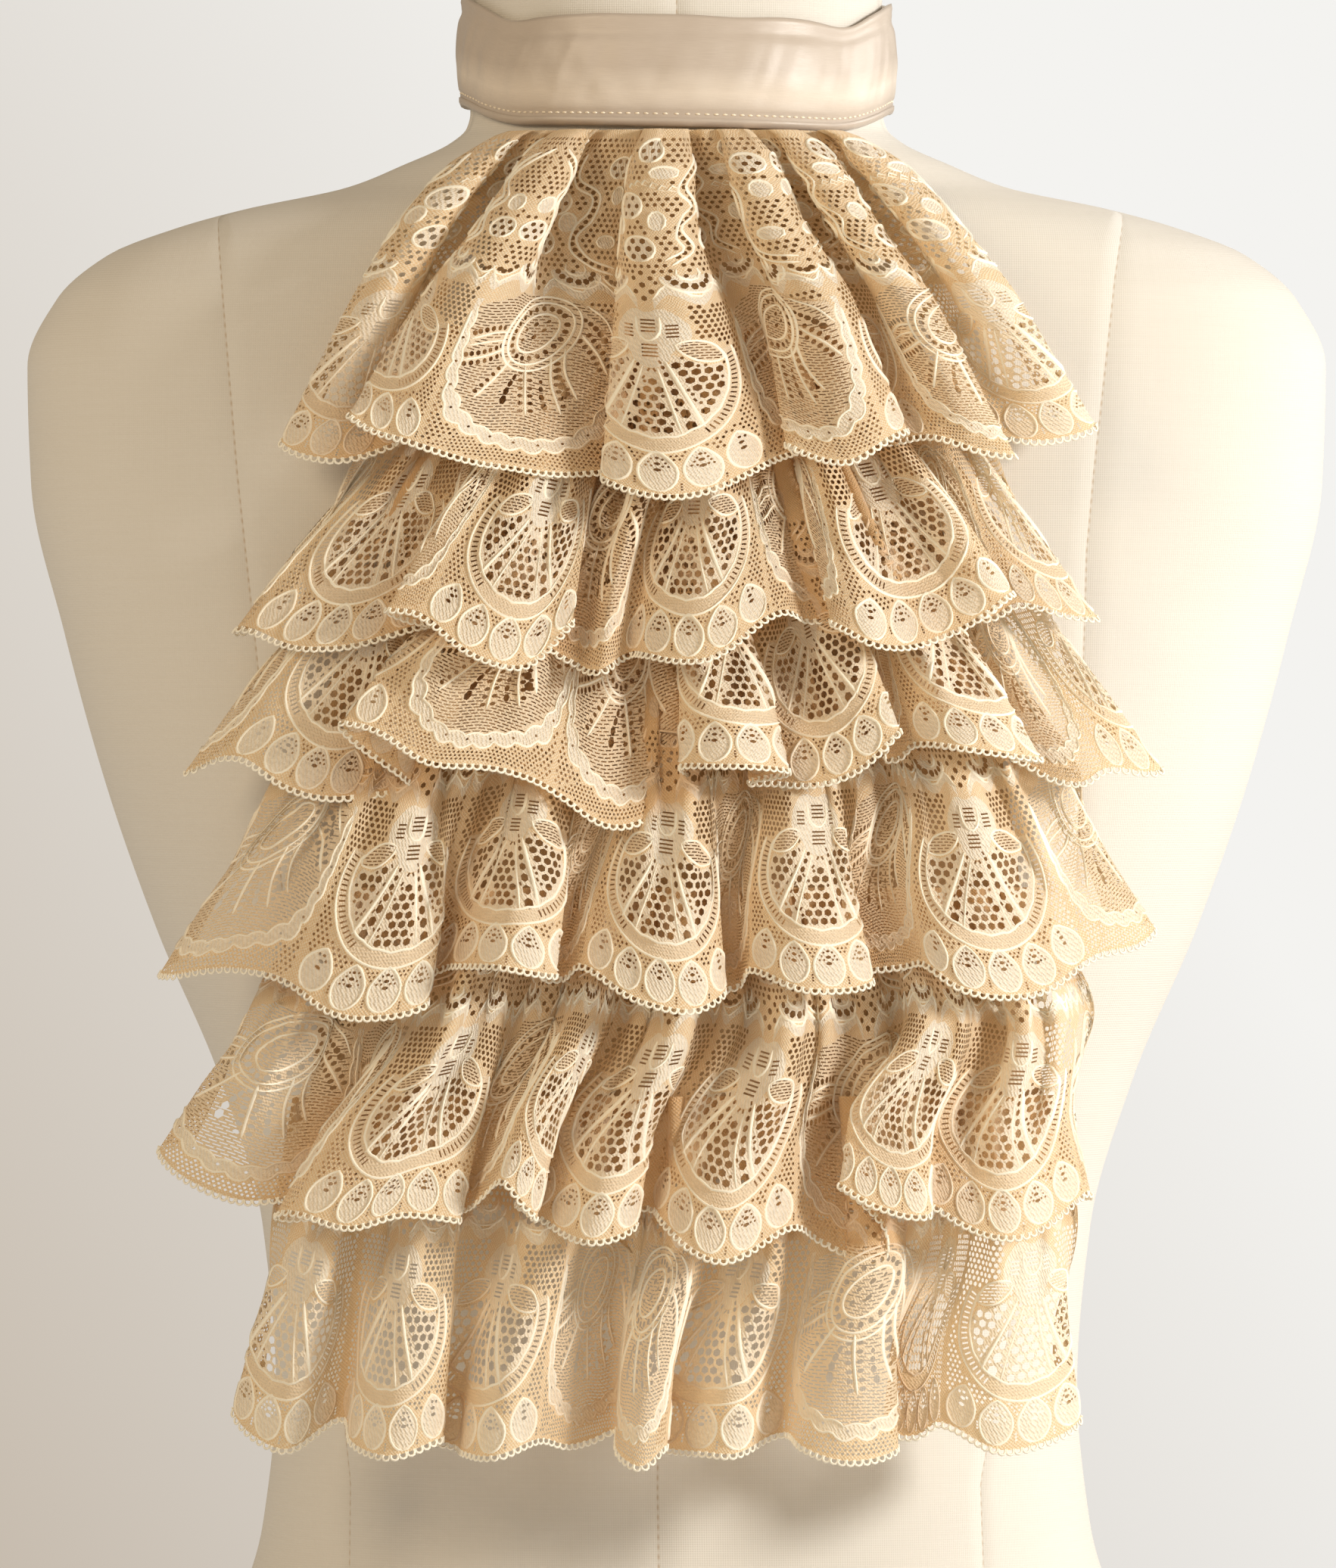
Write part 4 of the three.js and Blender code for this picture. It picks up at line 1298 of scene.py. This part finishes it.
def satinMaterial(sizes):
    material, wire = newMaterial("satin")
    place, spots = clothPlace(wire), solidPlace(wire)
    threads = noise(wire, stretched(wire, place, (220.0, 5200.0, 1.0)), 1.0, 2.0)
    broad = noise(wire, spots, 26.0, 2.0)
    grain = noise(wire, spots, 900.0, 2.0)
    level = axis(wire, place, 1) * 1000.0 / sizes["wide"]
    # painted sheen: a broad lighter band across the middle of the ribbon's height, blended towards
    # satinLight along with tone that differs at random
    paintedSheen = (1 - (level - 0.52).size() * 2.6).clamped()
    base = (broad * 0.7 + (threads - 0.5) * 0.5 + paintedSheen * 0.75 - 0.35).clamped().blend(
        sizes["satin"], sizes["satinLight"])
    rough = broad * 0.12 + threads * 0.14 + (sizes["rough"] - 0.12)
    relief = threads * 0.6 + grain * 0.5
    finishMaterial(wire, surface(wire, base, rough, bumps(wire, 0.25, 0.0002, relief), {
        "Specular IOR Level": 0.6, "Sheen Weight": 0.25, "Sheen Roughness": 0.35}))
    return material


def sewingMaterial(sizes):
    material, wire = newMaterial("sewing")
    twist = noise(wire, solidPlace(wire), 3000.0, 1.0)
    finishMaterial(wire, surface(
        wire, sizes["sewing"], sizes["sewingRough"], bumps(wire, 0.3, 0.0001, twist)))
    return material


satinLook = satinMaterial(bandSizes)
sewingLook = sewingMaterial(bandSizes)


bandShape = {    # how far the ribbon rises, tilts, swells and creases, in millimetres
    "sideRise": 6.2, "backRise": 3.0, "tilt": 1.3, "corner": 1.6, "topWave": 0.5,
    "swell": 1.3, "frontSwell": 1.9, "crease": 0.55, "topCrease": 0.5, "hemCrease": 0.35,
    "pull": 0.22, "finePull": 0.16, "edge": 0.55,
}


def bandSurface(turn, level, depth):    # a point of the ribbon: turn round the neck, level 0 to 1 up
    s = bandShape
    side = np.clip(np.abs(turn), 0, np.pi)
    rise = s["sideRise"] * smoothstep(side, 0.72, 1.5) + s["backRise"] * smoothstep(side, 1.6, 3.0)
    tilt = -s["tilt"] * np.sin(np.clip(turn, -1.2, 1.2)) * (1 - smoothstep(side, 1.3, 2.4))
    corner = s["corner"] * np.exp(-((side - 0.86) / 0.2) ** 2) * level ** 3
    topWave = s["topWave"] * wobble(turn * 3.2, 3) * smoothstep(level, 0.55, 1.0)
    z = bandFrontZ - 0.2 + rise + tilt + level * (bandHeight - 1.6) + topWave - corner
    lap = smoothstep(turn, bandHalfTurn - 1.1, bandHalfTurn - 0.6)
    fuller = s["swell"] + s["frontSwell"] * np.clip(np.cos(turn), 0, 1) ** 0.6
    crown = fuller * np.sin(np.pi * np.clip(level, 0.0, 1.0) ** 0.85) ** 0.9
    crease = s["crease"] * np.exp(-((level - 0.30 - 0.06 * wobble(turn * 1.7, 5)) / 0.08) ** 2)
    crease = crease * (0.5 + 0.5 * wobble(turn * 2.3, 6))
    crease = crease + s["topCrease"] * np.exp(-((level - 0.86 - 0.02 * wobble(turn * 2.9, 7)) / 0.05) ** 2)
    crease = crease + s["hemCrease"] * np.exp(-((level - 0.12) / 0.018) ** 2)
    pull = s["pull"] * wobble(turn * 9 + level * 2.5, 8) + s["finePull"] * wobble(turn * 21 - level * 4, 4)
    pull = pull * (1.0 + 1.6 * np.exp(-((turn + 1.05) / 0.28) ** 2))
    edge = s["edge"] * smoothstep(level, 0.93, 1.0)
    shape = crown - crease + pull * np.sin(np.clip(level, 0, 1) * np.pi) + edge
    lift = bandLift + bandWall / 2 + (bandWall + seamGap) * lap + depth + shape * (1 - 0.5 * lap)
    angle = turn - np.pi / 2
    outward = np.stack([np.cos(angle), np.sin(angle), 0 * angle], -1)
    base = formPoint(np.full_like(z, 590.0), angle, 0.0)
    base = base + outward * lift[:, None]
    base[:, 2] = z
    return moved(base)


def makeBand(sizes):
    rows, steps, face = sizes["rows"], sizes["steps"], sizes["face"]
    turns = np.linspace(-bandHalfTurn, bandHalfTurn, steps)
    inside = range(rows - 1, -1, -4)
    # outer face upwards, over the rolled top, down the inside, round the foot
    levels = [k / (rows - 1) for k in [*range(rows), *inside]]
    depths = [face] * (rows - 1) + [sizes["rim"]] + [-face] * len(inside)
    levels[rows - 1] = sizes["rolled"]
    grid, laid = [], []
    run = np.cumsum([0] + [abs(a - b) + 0.02 for a, b in zip(levels[:-1], levels[1:])])
    for level, depth, go in zip(levels, depths, run):
        grid.append(bandSurface(turns, np.full(steps, level), np.full(steps, depth)))
        laid.append(np.stack([turns * sizes["radius"], np.full(steps, go * bandHeight)], -1))
    faces = tubeFaces(len(levels), steps)
    band = makePiece("neckRibbon", np.vstack(grid), faces, satinLook, None, np.vstack(laid))
    return settle(band, "satin", "neckband")


band = makeBand(bandSizes)


def bandTrim(sizes):    # the narrow turned hem under the ribbon and its row of running stitches
    steps, sides, end = sizes["hemSteps"], sizes["hemSides"], sizes["hemTurn"]
    turns = np.linspace(-end, end, steps)
    rings, laid = [], []
    for k in range(sides):
        a = k / sides * 2 * np.pi
        level = np.full(steps, 0.045) + 0.042 * np.sin(a)
        depth = np.full(steps, 0.78) + 0.42 * np.cos(a)
        rings.append(bandSurface(turns, level, depth))
        laid.append(np.stack([turns * sizes["radius"], np.full(steps, k * 1.0)], -1))
    faces = tubeFaces(sides, steps)
    hem = makePiece("ribbonHem", np.vstack(rings), faces, satinLook, None, np.vstack(laid))
    settle(hem, "satin")
    count = int(2 * end * sizes["stitchRadius"] / sizes["pitch"])
    at = np.linspace(-end, end, count)
    level = np.full(count, 0.12)
    spots = bandSurface(at, level, np.full(count, 0.68))
    ahead = bandSurface(at + 0.004, level, np.full(count, 0.68))
    out = bandSurface(at, level, np.full(count, 1.72)) - spots
    row = grown("ribbonStitches", spots, ahead - spots, out, stitchTree(sewingLook, sizes), sewingLook)
    return hem, settle(row, "satin")


ribbonHem, ribbonStitches = bandTrim(bandSizes)
print("neckband is sewn")

# ---- backing ----

backingRows = np.array([    # height and half width, from the foot up
    [309, 98], [345, 94], [400, 87], [455, 76], [505, 60], [545, 49], [bandFrontZ - 1.2, 43]], float)
# painted shade: the backing is coloured a dark brown, darker than the pale cloth it is, to stand in for the
# shade seen through the lace's openings
backingFinish = {"cloth": (0.53, 0.36, 0.20, 1), "clothDeep": (0.42, 0.275, 0.14, 1), "rough": 0.8}


def backingMaterial(finish):
    material, wire = newMaterial("backing")
    place = clothPlace(wire)
    across, up = axis(wire, place, 0), axis(wire, place, 1)
    weave = ((across * 9000.0).sine() * (up * 9000.0).sine()) * 0.5 + 0.5
    cloud = noise(wire, place, 30.0, 3.0)
    base = (weave * 0.5 + cloud * 0.5).blend(finish["cloth"], finish["clothDeep"])
    finishMaterial(wire, surface(
        wire, base, finish["rough"], bumps(wire, 0.4, 0.0002, weave), {"Sheen Weight": 0.1}))
    return material


def makeBacking():
    across, down = 60, 80
    z = np.linspace(backingRows[-1, 0], backingRows[0, 0], down)
    half = smoothCurve(backingRows[:, 0], backingRows[:, 1], z)
    spread = np.linspace(-1, 1, across)
    x = half[:, None] * spread[None, :]
    zz = np.repeat(z[:, None], across, 1)
    y = chestY(x, zz) - (seamGap / 2 + backingWall / 2)
    points = moved(np.stack([x, y, zz], -1).reshape(-1, 3))
    faces = [(a, d, c, b) for a, b, c, d in gridFaces(down, across)]
    uv = np.stack([x.ravel(), zz.ravel()], -1)
    piece = makePiece("backingCloth", points, faces, backingMaterial(backingFinish), None, uv)
    return settle(piece, "backing", "backing")


backing = makeBacking()

# ---- dress form ----

formSizes = {
    "linen": (0.70, 0.655, 0.58, 1), "linenLight": (0.765, 0.735, 0.675, 1),
    "seamTone": (0.50, 0.37, 0.24, 1), "rough": 0.85, "thread": 0.62, "panelSteps": 17,
    "groove": 0.2, "grooveWide": 0.4, "keel": 2.2, "keelWide": 16.0, "foot": 14, "top": 646,
}
seamLines = {    # height and how far across each seam lies, from the foot up
    "left": np.array([[14, -92], [120, -88], [213, -87], [482, -117], [550, -123]], float),
    "middle": np.array([[14, -2], [213, -5], [480, -2], [560, 0], [646, 0]], float),
    "right": np.array([[14, 90], [120, 84], [213, 81], [339, 105], [461, 109], [482, 111],
                       [534, 117], [550, 119.6]], float),
}


def linenMaterial(sizes):
    material, wire = newMaterial("linen")
    place, spots = clothPlace(wire), solidPlace(wire)
    across, up = axis(wire, place, 0), axis(wire, place, 1)
    turn = 2000 * math.pi / sizes["thread"]
    slubsUp = noise(wire, stretched(wire, place, (40.0, 900.0, 1.0)), 1.0)
    slubsAcross = noise(wire, stretched(wire, place, (900.0, 40.0, 1.0)), 1.0)
    weft = (up * turn + slubsUp * 2.0).sine() * 0.5 + 0.5
    warp = (across * turn + slubsAcross * 2.0).sine() * 0.5 + 0.5
    cloud = noise(wire, spots, 9.0, 3.0)
    tone = (cloud * 0.7 + slubsUp * 0.3 + slubsAcross * 0.15 + (weft * warp) * 0.25 - 0.2).clamped()
    stitch = attribute(wire, "seam") * ((up * 2400.0).sine() * 0.35 + 0.5)
    base = stitch.clamped().blend(tone.blend(sizes["linen"], sizes["linenLight"]), sizes["seamTone"])
    relief = weft * 0.5 + warp * 0.5 + slubsUp * 0.6 + slubsAcross * 0.4
    finishMaterial(wire, surface(wire, base, sizes["rough"], bumps(wire, 0.35, 0.0002, relief), {
        "Specular IOR Level": 0.2, "Sheen Weight": 0.15, "Sheen Roughness": 0.6}))
    return material


linenLook = linenMaterial(formSizes)


def seamAngle(x, z):    # where across the front of the form a seam lies, as an angle
    share = np.clip(np.abs(x) / formAt("half", z), 0, 0.985)
    angle = np.arccos(share ** (formAt("square", z) / 2))
    return -np.where(x >= 0, angle, np.pi - angle)


def makeForm(sizes):
    foot, top = sizes["foot"], sizes["top"]
    z = np.unique(np.concatenate([
        np.arange(foot, 505, 3.0), np.arange(505, 545, 1.6), np.arange(545, 584, 0.8),
        np.arange(584, top, 3.0), [top]]))
    front = [seamAngle(np.interp(z, seamLines[k][:, 0], seamLines[k][:, 1]), z)
             for k in ("left", "middle", "right")]
    keys = [np.full_like(z, -np.pi), *front, np.zeros_like(z),
            -front[2], np.full_like(z, np.pi / 2), -front[0], np.full_like(z, np.pi)]
    columns, dips = [], []
    wide = sizes["grooveWide"] / 120
    for k in range(len(keys) - 1):
        a, b = keys[k] + wide, keys[k + 1] - wide
        columns.append(keys[k])
        dips.append(1.0)
        for share in np.linspace(0, 1, sizes["panelSteps"]):
            columns.append(a + (b - a) * share)
            dips.append(0.0)
    angle = np.array(columns).T
    dip = np.array(dips)
    rows, count = angle.shape
    zz = np.repeat(z[:, None], count, 1)
    fade = smoothstep(zz, foot, foot + 6) * (1 - smoothstep(zz, top - 6, top))
    lift = -sizes["groove"] * dip[None, :] * fade
    middleAt = np.interp(zz, seamLines["middle"][:, 0], seamLines["middle"][:, 1])
    across = formPoint(zz.ravel(), angle.ravel())[:, 0].reshape(zz.shape)
    keel = sizes["keel"] * np.exp(-np.abs(across - middleAt) / sizes["keelWide"]) * (np.sin(angle) < 0)
    lift = lift + keel * smoothstep(zz, 90, 150) * (1 - smoothstep(zz, 225, 260))
    points = formPoint(zz.ravel(), angle.ravel(), lift.ravel())
    steps = np.linalg.norm(np.diff(points.reshape(rows, count, 3), axis=1), axis=2)
    girth = np.concatenate([np.zeros((rows, 1)), np.cumsum(steps, axis=1)], axis=1)
    girth -= girth[:, [(sizes["panelSteps"] + 1) * 2]]    # the cloth is laid from the middle seam
    uv = np.vstack([np.stack([girth.ravel(), zz.ravel()], -1), [[0, 0], [0, top]]])
    points = np.vstack([points, [[0, 0, foot], [0, 0, top]]])
    seam = np.concatenate([np.repeat(dip[None, :], rows, 0).ravel(), [0, 0]])
    piece = makePiece("linenForm", moved(points), cappedFaces(rows, count), linenLook,
                      {"seam": ("POINT", seam)}, uv)
    return settle(piece, "linen", "dress_form")


form = makeForm(formSizes)


boardFinish = {
    "wood": (0.62, 0.46, 0.30, 1), "woodLight": (0.78, 0.64, 0.46, 1), "rough": 0.4, "sides": 128,
}


def boardMaterial(finish):
    material, wire = newMaterial("board")
    spots = solidPlace(wire)
    grain = noise(wire, stretched(wire, spots, (6.0, 90.0, 90.0)), 1.0, 5.0, 0.6)
    fine = noise(wire, stretched(wire, spots, (30.0, 700.0, 700.0)), 1.0, 3.0)
    base = (grain * 0.8 + fine * 0.3).clamped().blend(finish["wood"], finish["woodLight"])
    finishMaterial(wire, surface(
        wire, base, finish["rough"] + fine * 0.12, bumps(wire, 0.2, 0.0002, fine), {"Coat Weight": 0.2}))
    return material


boardLook = boardMaterial(boardFinish)


def makeBoard(name, node, levels):    # levels: height, the form height it follows, and its inset
    count = boardFinish["sides"]
    angle = np.arange(count) / count * 2 * np.pi
    rings = []
    for height, sectionZ, inset in levels:
        ring = formPoint(np.full(count, float(sectionZ)), angle, -inset)
        ring[:, 2] = height
        rings.append(ring)
    points = np.vstack(rings + [[[0, 0, levels[0][0]], [0, 0, levels[-1][0]]]])
    return settle(makePiece(name, moved(points), cappedFaces(len(levels), count), boardLook), "board", node)


makeBoard("footBoard", "base_board", [
    (0, 14, 11), (1, 14, 10), (11.4, 14, 10), (12.8, 14, 10.6), (13.6, 14, 12)])
makeBoard("neckTop", "neck_cap", [
    (646.4, 646, 1.9), (646.9, 646, 1.5), (651.2, 646, 1.5), (652.8, 646, 2.2), (653.8, 646, 3.4),
    (654.4, 646, 5.2)])
print("dress form is built")

# ---- the size each tier's cloth was cut to, worked out but not kept ----

for shape, cloth, cords, loops, flatArea in hung:
    below = "linenForm" if shape.sizes["name"] == "6" else "laceTier" + str(int(shape.sizes["name"]) + 1)
    long, tall = shape.length * mm, shape.tall * mm
    min(flatArea * 1e-6, long * tall)

# ---- floor and light ----

roomSizes = {
    "floor": (0.30, 0.285, 0.265, 1), "floorGlow": (1.0, 0.945, 0.865, 1), "floorPower": 0.34,
    "wide": 12.0, "back": 2.9, "shade": (0.56, 0.49, 0.41, 1), "bright": (0.905, 0.896, 0.871, 1),
    "gradeAcross": 11.0, "gradeUp": 7.0, "gradeMiddle": 0.71,
    "glow": (1.0, 0.875, 0.72, 1), "power": 0.33,
}


def makeRoom(sizes):
    wide, back = sizes["wide"] * 1000, sizes["back"] * 1000
    points = np.array([[-wide, -wide, 0], [wide, -wide, 0], [wide, back, 0], [-wide, back, 0]], float)
    material, wire = newMaterial("paper")
    finishMaterial(wire, wire.node("ShaderNodeBsdfPrincipled", None, {
        "Base Color": sizes["floor"], "Roughness": 0.9, "Emission Color": sizes["floorGlow"],
        "Emission Strength": sizes["floorPower"]}))
    makePiece("floor", points - [0, 0, 0.5], [(0, 1, 2, 3)], material)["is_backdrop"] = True
    world = bpy.data.worlds.new("world")
    bpy.context.scene.world = world
    world.use_nodes = True
    world.node_tree.nodes.clear()
    wire = Wire(world.node_tree)
    way = solidPlace(wire)
    grade = axis(wire, way, 0) * sizes["gradeAcross"] + axis(wire, way, 2) * sizes["gradeUp"]
    seen = (grade + sizes["gradeMiddle"]).clamped().blend(sizes["shade"], sizes["bright"])
    lit = wire.node("ShaderNodeBackground", None, {"Color": sizes["glow"], "Strength": sizes["power"]})
    paper = wire.node("ShaderNodeBackground", None, {"Color": seen, "Strength": 1.0})
    camera = wire.node("ShaderNodeLightPath", None, None, 0)
    both = wire.node("ShaderNodeMixShader", None, {0: camera, 1: lit, 2: paper})
    wire.node("ShaderNodeOutputWorld", None, {"Surface": both})


lamps = [
    {"name": "key", "at": (1.68, -1.12, 0.9), "to": (0.0, -0.1, 0.42), "size": 0.42, "power": 35.0,
     "colour": (1.0, 0.975, 0.93)},
    {"name": "fill", "at": (-1.3, -1.4, 1.3), "to": (0.0, 0.0, 0.45), "size": 1.0, "power": 14.0,
     "colour": (1.0, 0.80, 0.54)},
    {"name": "side", "at": (1.5, 0.5, 0.9), "to": (0.0, 0.0, 0.4), "size": 0.9, "power": 12.0,
     "colour": (1.0, 0.98, 0.95)},
]


def makeLamps(lamps):
    for lamp in lamps:
        data = bpy.data.lights.new(lamp["name"], "AREA")
        data.shape = "DISK"
        data.size = lamp["size"]
        data.energy = lamp["power"]
        data.color = lamp["colour"]
        light = bpy.data.objects.new(lamp["name"], data)
        light.location = lamp["at"]
        way = Vector(lamp["to"]) - Vector(lamp["at"])
        light.rotation_euler = way.to_track_quat("-Z", "Y").to_euler()
        bpy.context.scene.collection.objects.link(light)


makeRoom(roomSizes)
makeLamps(lamps)
bpy.context.scene.view_settings.view_transform = "Standard"
print("room and lamps are ready")

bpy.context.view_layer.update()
total = sum(len(p.data.loop_triangles) or len(p.data.polygons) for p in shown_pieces() if p.type == "MESH")
print("triangles or faces in all", total)
